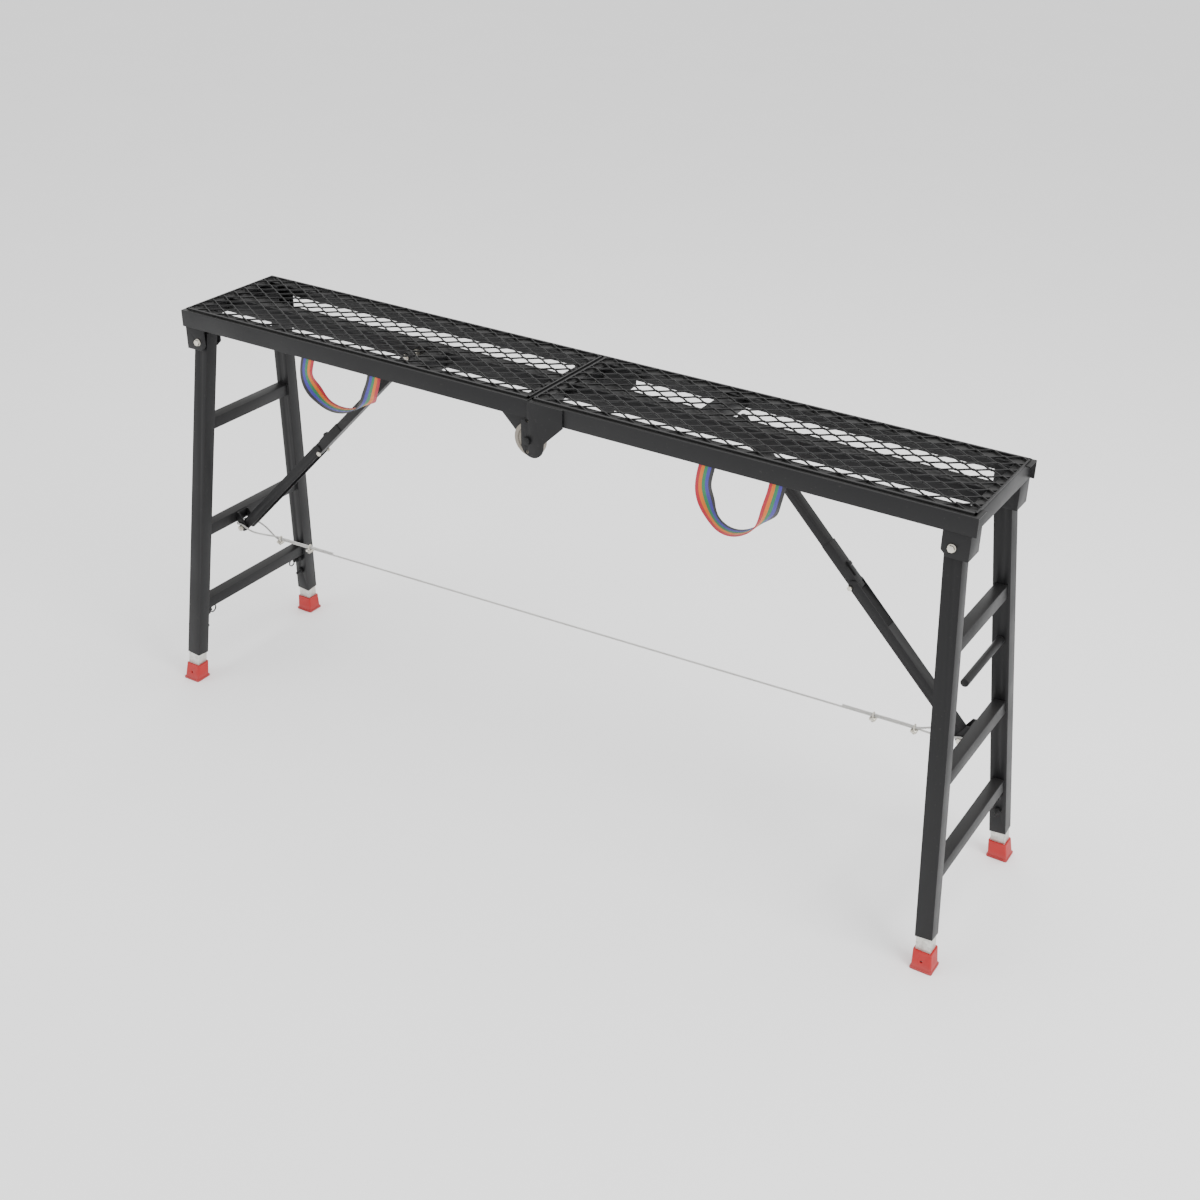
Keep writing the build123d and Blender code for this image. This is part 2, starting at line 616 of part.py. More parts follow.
with BuildPart() as peg:
    peg_x, peg_z = down_frame(PEG_DROP)
    with BuildSketch(Plane(origin=(peg_x, PEG_TIP_Y, peg_z), x_dir=(1, 0, 0), z_dir=(0, 1, 0))):
        Circle(PEG_R)
    extrude(amount=stile_y(PEG_DROP) - stile_half_y - PEG_TIP_Y + 2)
    with BuildSketch(frame_plane):
        with Locations([(stile_y(PEG_DROP) - stile_half_y + 30 / cos(splay), PEG_DROP)]):
            Rectangle(60, 80, rotation=-degrees(splay))
    extrude(amount=30, both=True, mode=Mode.SUBTRACT)
save(peg.part, "storage_peg_right")

# ---------------------------------------------------------------- braces
half_depth = UPPER_LINK[1] / 2
with BuildPart() as upper_link:
    with BuildSketch(brace_plane):
        with Locations([(knee_run / 2 + 6, 0)]):
            Rectangle(knee_run + 12, UPPER_LINK[1])
        Circle(half_depth)
    extrude(amount=UPPER_LINK[0] / 2, both=True)
    with BuildSketch(brace_plane):
        with Locations([(knee_run / 2 + 16, 0)]):
            Rectangle(knee_run, UPPER_LINK[1] - 2 * UPPER_LINK_WALL)
    extrude(amount=UPPER_LINK[0] / 2 - UPPER_LINK_WALL, both=True, mode=Mode.SUBTRACT)
    with BuildSketch(brace_plane):
        Circle(BRACE_PIN_R + RUNNING)
    extrude(amount=UPPER_LINK[0], both=True, mode=Mode.SUBTRACT)
save_halves(upper_link.part, "upper_link")

with BuildPart() as knee_sleeve:
    sleeve_mid = knee_run - SLEEVE_LENGTH / 2
    with BuildSketch(brace_plane):
        with Locations([(sleeve_mid, -SLEEVE_WALL / 2)]):
            Rectangle(SLEEVE_LENGTH, UPPER_LINK[1] + SLEEVE_WALL)
    extrude(amount=sleeve_half, both=True)
    with BuildSketch(brace_plane):
        with Locations([(sleeve_mid, 0)]):
            Rectangle(SLEEVE_LENGTH, UPPER_LINK[1])
    extrude(amount=UPPER_LINK[0] / 2, both=True, mode=Mode.SUBTRACT)
save_halves(knee_sleeve.part, "knee_sleeve")

latch_at = knee_run - 42
latch_top = -(half_depth + SLEEVE_WALL)
with BuildPart() as latch:
    with BuildSketch(brace_plane):
        with BuildLine():
            Polyline(
                (latch_at - 9, latch_top - 0.4),
                (latch_at - 6, latch_top - 7.0),
                (latch_at + 1, latch_top - 7.0),
                (latch_at + 4, latch_top - 3.6),
                (latch_at + 26, latch_top - 3),
                (latch_at + 26, latch_top - 0.4),
                close=True,
            )
        make_face()
    extrude(amount=5, both=True)
save_halves(latch.part, "latch")

foot_run = run - knee_run
with BuildPart() as lower_link:
    with BuildSketch(brace_plane):
        with Locations([((knee_run + run) / 2, 0)]):
            Rectangle(foot_run, LOWER_LINK_DEPTH)
        with Locations([(knee_run, 0), (run, 0)]):
            Circle(LOWER_LINK_DEPTH / 2)
    extrude(amount=lower_half, both=True)
    with BuildSketch(brace_plane):
        with Locations([((knee_run + run) / 2, LOWER_LINK_WALL)]):
            Rectangle(foot_run + 2 * LOWER_LINK_DEPTH, LOWER_LINK_DEPTH)
        with Locations([(knee_run + LOWER_LINK_OPEN / 2 - 20, 0)]):
            Rectangle(LOWER_LINK_OPEN + 40, 2 * LOWER_LINK_DEPTH)
    extrude(amount=lower_inner_half, both=True, mode=Mode.SUBTRACT)
    with BuildSketch(brace_plane):
        with Locations([(run, 0)]):
            Circle(BRACE_PIN_R + RUNNING)
        with Locations([(knee_run, KNEE_OFFSET)]):
            Circle(BRACE_PIN_R - 1)
    extrude(amount=2 * lower_half, both=True, mode=Mode.SUBTRACT)
save_halves(lower_link.part, "lower_link")

with BuildPart() as knee_bolt:
    for way in (-1, 1):
        start = LANE_Y + way * (lower_inner_half + 0.05)
        ends = sorted((start, LANE_Y + way * lower_half))
        with BuildSketch(Plane(origin=(knee[0], ends[0], knee[1]), x_dir=(1, 0, 0), z_dir=(0, 1, 0))):
            Circle(BRACE_PIN_R - 1)
        extrude(amount=ends[1] - ends[0])
        ends = sorted((LANE_Y + way * lower_half, LANE_Y + way * (lower_half + 4)))
        with BuildSketch(Plane(origin=(knee[0], ends[0], knee[1]), x_dir=(1, 0, 0), z_dir=(0, 1, 0))):
            RegularPolygon(6.0, 6)
        extrude(amount=4)
save_halves(knee_bolt.part, "knee_bolt")

# ---------------------------------------------------------------- carrying straps on the front rail
for side, ends, low in (
    ("left", (-613.0, -420.0), (-550.0, 848.0)),
    ("right", (431.0, 589.0), (483.0, 823.0)),
):
    bulge = 0.5 * (low[1] + rail_bottom) + 4
    half = STRAP_WIDTH / 2
    with BuildPart() as strap:
        with BuildSketch(ear_plane.offset(inner_face_y)):
            with BuildLine():
                outer = Spline(
                    (ends[0] - half, rail_bottom), (ends[0] - half - 3, bulge), low,
                    (ends[1] + half - 2, bulge), (ends[1] + half, rail_bottom),
                )
                Polyline(outer @ 1, (ends[1] + half, DECK_TOP - 12), (ends[1] - half, DECK_TOP - 12),
                         (ends[1] - half, rail_bottom))
                inner = Spline(
                    (ends[1] - half, rail_bottom), (ends[1] - half - 6, bulge), (low[0], low[1] + 14),
                    (ends[0] + half + 3, bulge), (ends[0] + half, rail_bottom),
                )
                Polyline(inner @ 1, (ends[0] + half, DECK_TOP - 12), (ends[0] - half, DECK_TOP - 12),
                         (ends[0] - half, rail_bottom))
            make_face()
        extrude(amount=-STRAP_THICKNESS)
    save(strap.part, f"strap_{side}")

# ---------------------------------------------------------------- tie rope and its clips
eye_x, eye_z = brace_foot
rope_slope = LANE_Y / eye_x
strand_gap = 2 * ROPE_R + 0.3
eye_half = ear_gap + ear_wall + ROPE_R + 0.4
rope_start = (0.0, 0.0, ROPE_Z)
neck = (PIVOT_X - EYE_NECK, (PIVOT_X - EYE_NECK) * rope_slope)
tail = (PIVOT_X - TAIL_END, (PIVOT_X - TAIL_END) * rope_slope)
over = eye_z + BRACE_PIN_R + ROPE_R + 1.0
with BuildPart() as half_rope:
    with BuildLine():
        Line(rope_start, (*neck, ROPE_Z))
        eye = Spline(
            (*neck, ROPE_Z),
            (eye_x - 40, LANE_Y - eye_half, ROPE_Z + 12),
            (eye_x, LANE_Y - eye_half, over),
            (eye_x + 14, LANE_Y - eye_half, over - 1),
            (eye_x + 24, LANE_Y - eye_half + 9, over - 3),
            (eye_x + 26, LANE_Y, over - 3.5),
            (eye_x + 24, LANE_Y + eye_half - 9, over - 3),
            (eye_x + 14, LANE_Y + eye_half, over - 1),
            (eye_x, LANE_Y + eye_half, over),
            (eye_x - 40, LANE_Y + eye_half, ROPE_Z + 14),
            (*neck, ROPE_Z + strand_gap),
            tangents=[(eye_x, LANE_Y, 0), (-eye_x, -LANE_Y, 0)],
        )
        Line(eye @ 1, (*tail, ROPE_Z + strand_gap))
    with BuildSketch(Plane(origin=rope_start, z_dir=(eye_x, LANE_Y, 0))):
        Circle(ROPE_R)
    sweep()
save(half_rope.part + half_rope.part.rotate(Axis.Z, 180), "tie_rope")

with BuildPart() as rope_clips:
    for turn in (0, 180):
        for clip_reach in CLIPS:
            clip_x = PIVOT_X - clip_reach
            clip_plane = Plane(
                origin=Vector(clip_x, clip_x * rope_slope, ROPE_Z).rotate(Axis.Z, turn),
                x_dir=Vector(0, 1, 0).rotate(Axis.Z, turn + degrees(atan2(LANE_Y, eye_x))),
                z_dir=Vector(1, 0, 0).rotate(Axis.Z, turn + degrees(atan2(LANE_Y, eye_x))),
            )
            leg = ROPE_R + CLIP_WIRE_R + 0.1
            with BuildLine(clip_plane) as bow:
                Polyline((-leg, -13), (-leg, strand_gap))
                ThreePointArc((-leg, strand_gap), (0, strand_gap + leg), (leg, strand_gap))
                Polyline((leg, strand_gap), (leg, -13))
            with BuildSketch(Plane(origin=bow.line @ 0, z_dir=(0, 0, 1))) as wire:
                Circle(CLIP_WIRE_R)
            sweep(wire.sketch, path=bow.line)
            with BuildSketch(clip_plane) as saddle:
                with Locations([(0, -ROPE_R - 3)]):
                    Rectangle(17, 6)
            extrude(saddle.sketch, amount=7, both=True)
            for nut_y in (-leg, leg):
                seat = clip_plane.from_local_coords((nut_y, -ROPE_R - 9, 0))
                with BuildSketch(Plane(origin=seat)) as clip_nut:
                    RegularPolygon(3.9, 6)
                extrude(clip_nut.sketch, amount=3)
save(rope_clips.part, "rope_clips")
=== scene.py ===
"""Folding trestle work platform: finished look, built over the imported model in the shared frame."""
import json
import logging
import math
from dataclasses import dataclass, field
from enum import Enum
from typing import Callable, Sequence

import bmesh
import bpy
from mathutils import Matrix, Vector

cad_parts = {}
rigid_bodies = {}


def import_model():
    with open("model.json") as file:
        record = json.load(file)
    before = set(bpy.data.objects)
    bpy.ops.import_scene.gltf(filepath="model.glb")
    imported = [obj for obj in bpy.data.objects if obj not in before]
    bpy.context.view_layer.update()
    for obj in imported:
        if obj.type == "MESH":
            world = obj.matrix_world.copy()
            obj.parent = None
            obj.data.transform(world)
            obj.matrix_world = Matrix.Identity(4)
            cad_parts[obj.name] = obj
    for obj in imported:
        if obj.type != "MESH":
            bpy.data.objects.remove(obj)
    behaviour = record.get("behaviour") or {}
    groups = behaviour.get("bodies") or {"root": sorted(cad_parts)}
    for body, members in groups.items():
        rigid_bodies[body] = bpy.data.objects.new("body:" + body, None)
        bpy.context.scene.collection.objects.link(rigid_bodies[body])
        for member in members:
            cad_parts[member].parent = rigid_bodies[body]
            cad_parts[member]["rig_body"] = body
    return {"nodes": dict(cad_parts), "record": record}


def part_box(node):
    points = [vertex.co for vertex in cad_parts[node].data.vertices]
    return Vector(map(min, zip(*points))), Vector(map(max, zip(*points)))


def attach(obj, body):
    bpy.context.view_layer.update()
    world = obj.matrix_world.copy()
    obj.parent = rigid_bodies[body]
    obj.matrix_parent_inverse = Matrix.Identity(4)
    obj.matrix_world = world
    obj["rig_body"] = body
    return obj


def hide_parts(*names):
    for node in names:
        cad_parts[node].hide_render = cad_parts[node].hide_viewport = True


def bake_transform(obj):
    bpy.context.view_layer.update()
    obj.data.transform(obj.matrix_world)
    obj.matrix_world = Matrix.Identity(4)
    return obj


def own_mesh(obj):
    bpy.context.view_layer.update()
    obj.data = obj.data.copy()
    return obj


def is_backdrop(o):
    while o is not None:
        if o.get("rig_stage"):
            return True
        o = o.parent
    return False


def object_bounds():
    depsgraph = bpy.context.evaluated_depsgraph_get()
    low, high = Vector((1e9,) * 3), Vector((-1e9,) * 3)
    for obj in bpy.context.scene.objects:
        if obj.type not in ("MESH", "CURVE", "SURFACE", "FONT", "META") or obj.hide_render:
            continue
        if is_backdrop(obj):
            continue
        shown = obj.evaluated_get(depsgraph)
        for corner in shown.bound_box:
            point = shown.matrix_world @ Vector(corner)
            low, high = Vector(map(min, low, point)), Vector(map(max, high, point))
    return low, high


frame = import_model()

LOG = logging.getLogger("platform")
Colour = tuple[float, float, float]
Socket = bpy.types.NodeSocket

WELD_PAINT_SMALL: Colour = (0.0022, 0.0022, 0.0030)
WELD_PAINT_LARGE: Colour = (0.0024, 0.0020, 0.0030)
FOOT_RIB: Colour = (0.0013, 0.0011, 0.0022)
RIVET: Colour = (0.0042, 0.0018, 0.0042)
BOLT_EDGE = 0.0004
PIN_EDGE = 0.0003
FOOT_EDGE = 0.0009
PIVOT = Vector((0.956, 0.0, 0.933))
RAIL_UNDERSIDE = 0.965
ROPE_JOIN_END = 0.94


class Side(Enum):
    """The two halves of the platform; the value is the sign of X."""

    LEFT = -1
    RIGHT = 1

    @property
    def label(self) -> str:
        """The word used in node and body names."""
        return self.name.lower()


class End(Enum):
    """Front (-Y) or rear (+Y); the value is the sign of Y."""

    FRONT = -1
    REAR = 1

    @property
    def label(self) -> str:
        """The word used in node and body names."""
        return self.name.lower()


# ------------------------------------------------------------------ shader graphs
class Graph:
    """A short way to write a material's node graph."""

    def __init__(self, name: str) -> None:
        """Start an empty material.

        Args:
            name: the material's name.
        """
        self.material = bpy.data.materials.new(name)
        self.material.use_nodes = True
        self.tree = self.material.node_tree
        self.tree.nodes.clear()
        self.shader = self.add("ShaderNodeBsdfPrincipled")
        out = self.add("ShaderNodeOutputMaterial")
        self.tree.links.new(self.shader.outputs[0], out.inputs[0])

    def add(self, kind: str, values: dict | None = None, **settings) -> bpy.types.Node:
        """Add a node.

        Args:
            kind: the node's type name.
            values: socket name or index to a constant or to another node's socket.
            settings: properties of the node itself.

        Returns:
            The new node.
        """
        node = self.tree.nodes.new(kind)
        for key, value in settings.items():
            setattr(node, key, value)
        for key, value in (values or {}).items():
            self.set(node.inputs[key], value)
        return node

    def set(self, socket: Socket, value: object) -> None:
        """Link or assign one socket.

        Args:
            socket: the input to fill.
            value: another node's socket, or a constant.
        """
        if isinstance(value, bpy.types.NodeSocket):
            self.tree.links.new(value, socket)
        else:
            socket.default_value = value

    def place(self, stretch: Colour = (1, 1, 1)) -> Socket:
        """Object coordinates in metres, stretched along the axes."""
        coords = self.add("ShaderNodeTexCoord").outputs["Object"]
        return self.add("ShaderNodeMapping", {0: coords, 3: stretch}).outputs[0]

    def noise(self, scale: float, at: Socket, detail: float = 3.0) -> Socket:
        """A noise value from 0 to 1."""
        return self.add("ShaderNodeTexNoise", {0: at, 2: scale, 3: detail}).outputs[0]

    def spread(self, value: Socket, low: float, high: float, to: tuple[float, float]) -> Socket:
        """Map a range of a value onto another range, clamped."""
        return self.add("ShaderNodeMapRange", {0: value, 1: low, 2: high, 3: to[0], 4: to[1]}).outputs[0]

    def blend(self, amount: Socket, first: Colour | Socket, second: Colour | Socket) -> Socket:
        """Mix two colours by an amount.

        Args:
            amount: 0 for the first colour, 1 for the second.
            first: a colour or a socket.
            second: a colour or a socket.

        Returns:
            The mixed colour's socket.
        """
        node = self.add("ShaderNodeMix", data_type="RGBA")
        for socket, value in ((node.inputs[0], amount), (node.inputs[6], first), (node.inputs[7], second)):
            is_colour = isinstance(value, tuple)
            self.set(socket, (*value, 1.0) if is_colour else value)
        return node.outputs[2]

    def relief(self, height: Socket, depth: float, strength: float = 1.0) -> None:
        """Use a height value as bump.

        Args:
            height: the height socket, 0 to 1.
            depth: height difference in metres.
            strength: bump strength.
        """
        bump = self.add("ShaderNodeBump", {"Height": height, "Distance": depth, "Strength": strength})
        self.set(self.shader.inputs["Normal"], bump.outputs[0])

    def finish(self, colour: Colour | Socket, rough: float | Socket, metal: float = 0.0,
               **extra: float) -> bpy.types.Material:
        """Fill in the main shader.

        Args:
            colour: the base colour.
            rough: the roughness.
            metal: how metallic it is.
            extra: other shader inputs, with underscores for spaces.

        Returns:
            The finished material.
        """
        values = {"Base Color": (*colour, 1.0) if isinstance(colour, tuple) else colour,
                  "Roughness": rough, "Metallic": metal}
        values.update({key.replace("_", " "): value for key, value in extra.items()})
        for key, value in values.items():
            self.set(self.shader.inputs[key], value)
        return self.material


@dataclass(frozen=True)
class Finish:
    """One surface finish: a record slot, a look, and a cached material."""

    slot: str
    colour: Colour
    rough: float

    def make(self) -> bpy.types.Material:
        """Build the material."""
        raise NotImplementedError

    @property
    def material(self) -> bpy.types.Material:
        """The finish's material, made once."""
        name = f"{type(self).__name__}_{self.slot}"
        return bpy.data.materials.get(name) or self._named(name)

    def _named(self, name: str) -> bpy.types.Material:
        """Build the material under a fixed name."""
        made = self.make()
        made.name = name
        return made


@dataclass(frozen=True)
class BlackPaint(Finish):
    """Satin black paint with a light orange-peel surface, painted top light on upward faces and rubbed
    patches.
    """

    def make(self) -> bpy.types.Material:
        """Build the material."""
        g = Graph("paint")
        at = g.place()
        peel = g.noise(750, at, 2)
        cloud = g.noise(7, at, 5)
        # painted top light: faces that point up are blended toward grey in noise patches, standing in for
        # light from above
        up = g.add("ShaderNodeSeparateXYZ", {0: g.add("ShaderNodeNewGeometry").outputs["Normal"]}).outputs[2]
        level = g.spread(up, 0.3, 1.0, (0, 0.5))
        painted_top_light = g.add("ShaderNodeMath", {0: level, 1: cloud}, operation="MULTIPLY").outputs[0]
        speck = g.spread(g.noise(160, at, 4), 0.66, 0.74, (0, 0.35))
        base = g.blend(cloud, self.colour, tuple(c * 1.5 for c in self.colour))
        base = g.blend(painted_top_light, base, (0.035, 0.034, 0.032))
        base = g.blend(speck, base, (0.04, 0.038, 0.036))
        g.relief(peel, 0.00006, 0.5)
        return g.finish(base, g.spread(cloud, 0.3, 0.7, (self.rough - 0.07, self.rough + 0.1)),
                        Specular_IOR_Level=0.24)


@dataclass(frozen=True)
class Galvanised(Finish):
    """Zinc-dipped steel with spangle and drawn streaks."""

    def make(self) -> bpy.types.Material:
        """Build the material."""
        g = Graph("galvanised")
        cells = g.add("ShaderNodeTexVoronoi", {0: g.place(), 2: 130.0}).outputs["Color"]
        grain = g.add("ShaderNodeSeparateColor", {0: cells}).outputs[0]
        streak = g.noise(90, g.place((4, 4, 0.3)), 4)
        base = g.blend(g.spread(grain, 0, 1, (0, 0.45)), self.colour, tuple(c * 0.62 for c in self.colour))
        base = g.blend(g.spread(streak, 0.45, 0.8, (0, 0.5)), base, (0.36, 0.35, 0.30))
        g.relief(streak, 0.0001, 0.4)
        return g.finish(base, g.spread(grain, 0, 1, (self.rough - 0.1, self.rough + 0.1)), 0.75)


@dataclass(frozen=True)
class Zinc(Finish):
    """Bright zinc plating on fasteners."""

    def make(self) -> bpy.types.Material:
        """Build the material."""
        g = Graph("zinc")
        cloud = g.noise(120, g.place(), 4)
        g.relief(g.noise(1400, g.place(), 2), 0.00003, 0.5)
        base = g.blend(cloud, self.colour, (0.50, 0.46, 0.36))
        return g.finish(base, g.spread(cloud, 0.3, 0.8, (self.rough, self.rough + 0.2)), 0.95)


@dataclass(frozen=True)
class Moulded(Finish):
    """Moulded plastic with a fine grain, dusty low down."""

    dusty_below: float = 0.02

    def make(self) -> bpy.types.Material:
        """Build the material."""
        g = Graph("moulded")
        at = g.place()
        height = g.add("ShaderNodeSeparateXYZ", {0: at}).outputs[2]
        low = g.spread(height, 0.0, self.dusty_below, (0.4, 0.0))
        cloud = g.noise(45, at, 5)
        base = g.blend(cloud, self.colour, tuple(c * 0.72 for c in self.colour))
        base = g.blend(low, base, tuple(0.5 * c + 0.08 for c in self.colour))
        g.relief(g.noise(1100, at, 2), 0.00008, 0.6)
        return g.finish(base, g.spread(cloud, 0.2, 0.8, (self.rough - 0.05, self.rough + 0.12)))


@dataclass(frozen=True)
class Webbing(Finish):
    """Woven webbing in lengthwise stripes, read from the strap's own across and along values."""

    stripes: tuple[Colour, ...] = ()

    def make(self) -> bpy.types.Material:
        """Build the material."""
        g = Graph("webbing")
        across = g.add("ShaderNodeAttribute", attribute_name="across").outputs["Fac"]
        along = g.add("ShaderNodeAttribute", attribute_name="along").outputs["Fac"]
        ramp = g.add("ShaderNodeValToRGB", {0: across})
        ramp.color_ramp.interpolation = "CONSTANT"
        stops = ramp.color_ramp.elements
        while len(stops) < len(self.stripes):
            stops.new(0.5)
        for index, colour in enumerate(self.stripes):
            stops[index].position = index / len(self.stripes)
            stops[index].color = (*colour, 1)
        weft = g.add("ShaderNodeMath", {0: along, 1: 2600.0}, operation="MULTIPLY").outputs[0]
        warp = g.add("ShaderNodeMath", {0: across, 1: 95.0}, operation="MULTIPLY").outputs[0]
        rib = g.add("ShaderNodeMath", {0: weft}, operation="SINE").outputs[0]
        yarn = g.add("ShaderNodeMath", {0: warp}, operation="SINE").outputs[0]
        weave = g.add("ShaderNodeMath", {0: rib, 1: yarn}, operation="MULTIPLY").outputs[0]
        g.relief(weave, 0.0003, 0.7)
        shade = g.spread(weave, -1, 1, (0.35, 0.0))
        return g.finish(g.blend(shade, ramp.outputs[0], (0.02, 0.02, 0.02)), self.rough, Sheen_Weight=0.25)


@dataclass(frozen=True)
class LaidWire(Finish):
    """Twisted wire rope, read from the rope's own around and along values."""

    def make(self) -> bpy.types.Material:
        """Build the material."""
        g = Graph("laid_wire")
        around = g.add("ShaderNodeAttribute", attribute_name="across").outputs["Fac"]
        along = g.add("ShaderNodeAttribute", attribute_name="along").outputs["Fac"]
        turn = g.add("ShaderNodeMath", {0: around, 1: 6.0 * math.tau}, operation="MULTIPLY").outputs[0]
        twist = g.add("ShaderNodeMath", {0: along, 1: 1400.0, 2: turn}, operation="MULTIPLY_ADD").outputs[0]
        lay = g.add("ShaderNodeMath", {0: twist}, operation="SINE").outputs[0]
        g.relief(lay, 0.0008)
        # painted shade: the grooves between strands are darkened toward grey
        base = g.blend(g.spread(lay, -1, 0.0, (0.5, 0.0)), self.colour, (0.2, 0.2, 0.19))
        return g.finish(base, self.rough, 0.25)


PAINT = BlackPaint("black_paint", (0.0065, 0.0065, 0.007), 0.46)
GALVANISED = Galvanised("galvanised", (0.66, 0.66, 0.62), 0.5)
ZINC = Zinc("zinc_bolts", (0.68, 0.67, 0.63), 0.28)
RED = Moulded("red_foot", (0.42, 0.003, 0.003), 0.42)
ROLLER = Moulded("pale_roller", (0.27, 0.235, 0.19), 0.55, -1.0)
ROPE = LaidWire("wire_rope", (0.86, 0.85, 0.82), 0.5)
BLACK_BAND: Colour = (0.02, 0.02, 0.022)
RED_BAND: Colour = (0.46, 0.008, 0.025)
ORANGE_BAND: Colour = (0.70, 0.16, 0.004)
GREEN_BAND: Colour = (0.02, 0.20, 0.07)
VIOLET_BAND: Colour = (0.05, 0.04, 0.34)
FINISHES: dict[str, Finish] = {f.slot: f for f in (PAINT, GALVANISED, ZINC, RED, ROLLER, ROPE)}


# ------------------------------------------------------------------ meshes
def plain(obj: bpy.types.Object) -> bpy.types.Object:
    """Turn an object with live modifiers into a plain mesh of the same look.

    Args:
        obj: the object; its modifiers are removed.

    Returns:
        The same object.
    """
    shown = obj.evaluated_get(bpy.context.evaluated_depsgraph_get())
    mesh = bpy.data.meshes.new_from_object(shown)
    obj.modifiers.clear()
    obj.data = mesh
    return obj


def add_mesh(name: str, verts: Sequence, faces: Sequence, finish: Finish,
             smooth: bool = False) -> bpy.types.Object:
    """Make a mesh object in metres with one finish.

    Args:
        name: object name.
        verts: points in metres.
        faces: index tuples.
        finish: its finish.
        smooth: shade smooth.

    Returns:
        The object, faces turned outward.
    """
    mesh = bpy.data.meshes.new(name)
    mesh.from_pydata([tuple(v) for v in verts], [], [tuple(f) for f in faces])
    obj = bpy.data.objects.new(name, mesh)
    bpy.context.scene.collection.objects.link(obj)
    mesh.materials.append(finish.material)
    work = bmesh.new()
    work.from_mesh(mesh)
    bmesh.ops.recalc_face_normals(work, faces=work.faces)
    work.to_mesh(mesh)
    work.free()
    mesh.polygons.foreach_set("use_smooth", [smooth] * len(mesh.polygons))
    return obj


def body_of(node: str) -> str:
    """The body a CAD node belongs to."""
    return str(frame["nodes"][node]["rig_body"])


def dress(node: str, finish: Finish, edge: float = 0.0007) -> bpy.types.Object:
    """Finish a CAD node: same shape, eased edges, smooth round faces.

    Args:
        node: the CAD node.
        finish: its finish.
        edge: width of the eased edge in metres.

    Returns:
        The visual piece, riding on the node's body.
    """
    mesh = frame["nodes"][node].data.copy()
    work = bmesh.new()
    work.from_mesh(mesh)
    bmesh.ops.remove_doubles(work, verts=work.verts, dist=1e-6)
    bmesh.ops.dissolve_limit(work, angle_limit=math.radians(1), verts=work.verts, edges=work.edges)
    work.to_mesh(mesh)
    work.free()
    mesh.materials.clear()
    mesh.materials.append(finish.material)
    obj = bpy.data.objects.new(f"look_{node}", mesh)
    bpy.context.scene.collection.objects.link(obj)
    ease = obj.modifiers.new("ease", "BEVEL")
    ease.width, ease.segments, ease.limit_method = edge, 2, "ANGLE"
    ease.angle_limit, ease.harden_normals = math.radians(35), False
    plain(obj)
    obj.data.shade_smooth()
    obj.data.set_sharp_from_angle(angle=math.radians(42))
    return settle(obj, body_of(node), finish, node)


def settle(obj: bpy.types.Object, body: str, finish: Finish, *nodes: str) -> bpy.types.Object:
    """Put a finished piece on its body and hide what it stands for.

    Args:
        obj: the piece.
        body: the body it rides on.
        finish: not used.
        nodes: the CAD nodes it replaces.

    Returns:
        The piece.
    """
    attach(obj, body)
    if nodes:
        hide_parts(*nodes)
    return obj


def tube(name: str, path: Sequence[Vector], radius: float, finish: Finish) -> bpy.types.Object:
    """A round tube along a path, with across and along values for its finish.

    Args:
        name: object name.
        path: centre points in metres.
        radius: tube radius in metres.
        finish: its finish.

    Returns:
        The tube, closed at both ends.
    """
    sides, verts, across, along, travelled = 12, [], [], [], 0.0
    side = Vector((0, 0, 1))
    for index, point in enumerate(path):
        ahead = (path[min(index + 1, len(path) - 1)] - path[max(index - 1, 0)]).normalized()
        if index:
            travelled += (point - path[index - 1]).length
        side = (side - ahead * side.dot(ahead)).normalized()
        other = ahead.cross(side)
        for k in range(sides):
            a = math.tau * k / sides
            verts.append(point + radius * (math.cos(a) * side + math.sin(a) * other))
            across.append(k / sides)
            along.append(travelled)
    faces = [(i * sides + k, i * sides + (k + 1) % sides,
              (i + 1) * sides + (k + 1) % sides, (i + 1) * sides + k)
             for i in range(len(path) - 1) for k in range(sides)]
    faces += [tuple(range(sides)), tuple(range(len(verts) - sides, len(verts)))]
    obj = add_mesh(name, verts, faces, finish, True)
    write_values(obj, across, along)
    return obj


def write_values(obj: bpy.types.Object, across: Sequence[float], along: Sequence[float]) -> None:
    """Store the across and along values that woven and laid finishes read."""
    for key, values in (("across", across), ("along", along)):
        obj.data.attributes.new(key, "FLOAT", "POINT").data.foreach_set("value", values)


def smooth_path(points: Sequence[Vector], step: float) -> list[Vector]:
    """A smooth line through points.

    Args:
        points: points that the line passes through.
        step: distance between samples in metres.

    Returns:
        The sampled line.
    """
    out: list[Vector] = []
    for i in range(len(points) - 1):
        p0, p1, p2, p3 = (points[max(0, min(len(points) - 1, i + d))] for d in (-1, 0, 1, 2))
        count = max(2, round((p2 - p1).length / step))
        for k in range(count):
            t = k / count
            out.append(0.5 * ((2 * p1) + (p2 - p0) * t + (2 * p0 - 5 * p1 + 4 * p2 - p3) * t**2
                              + (3 * p1 - p0 - 3 * p2 + p3) * t**3))
    return out + [points[-1].copy()]


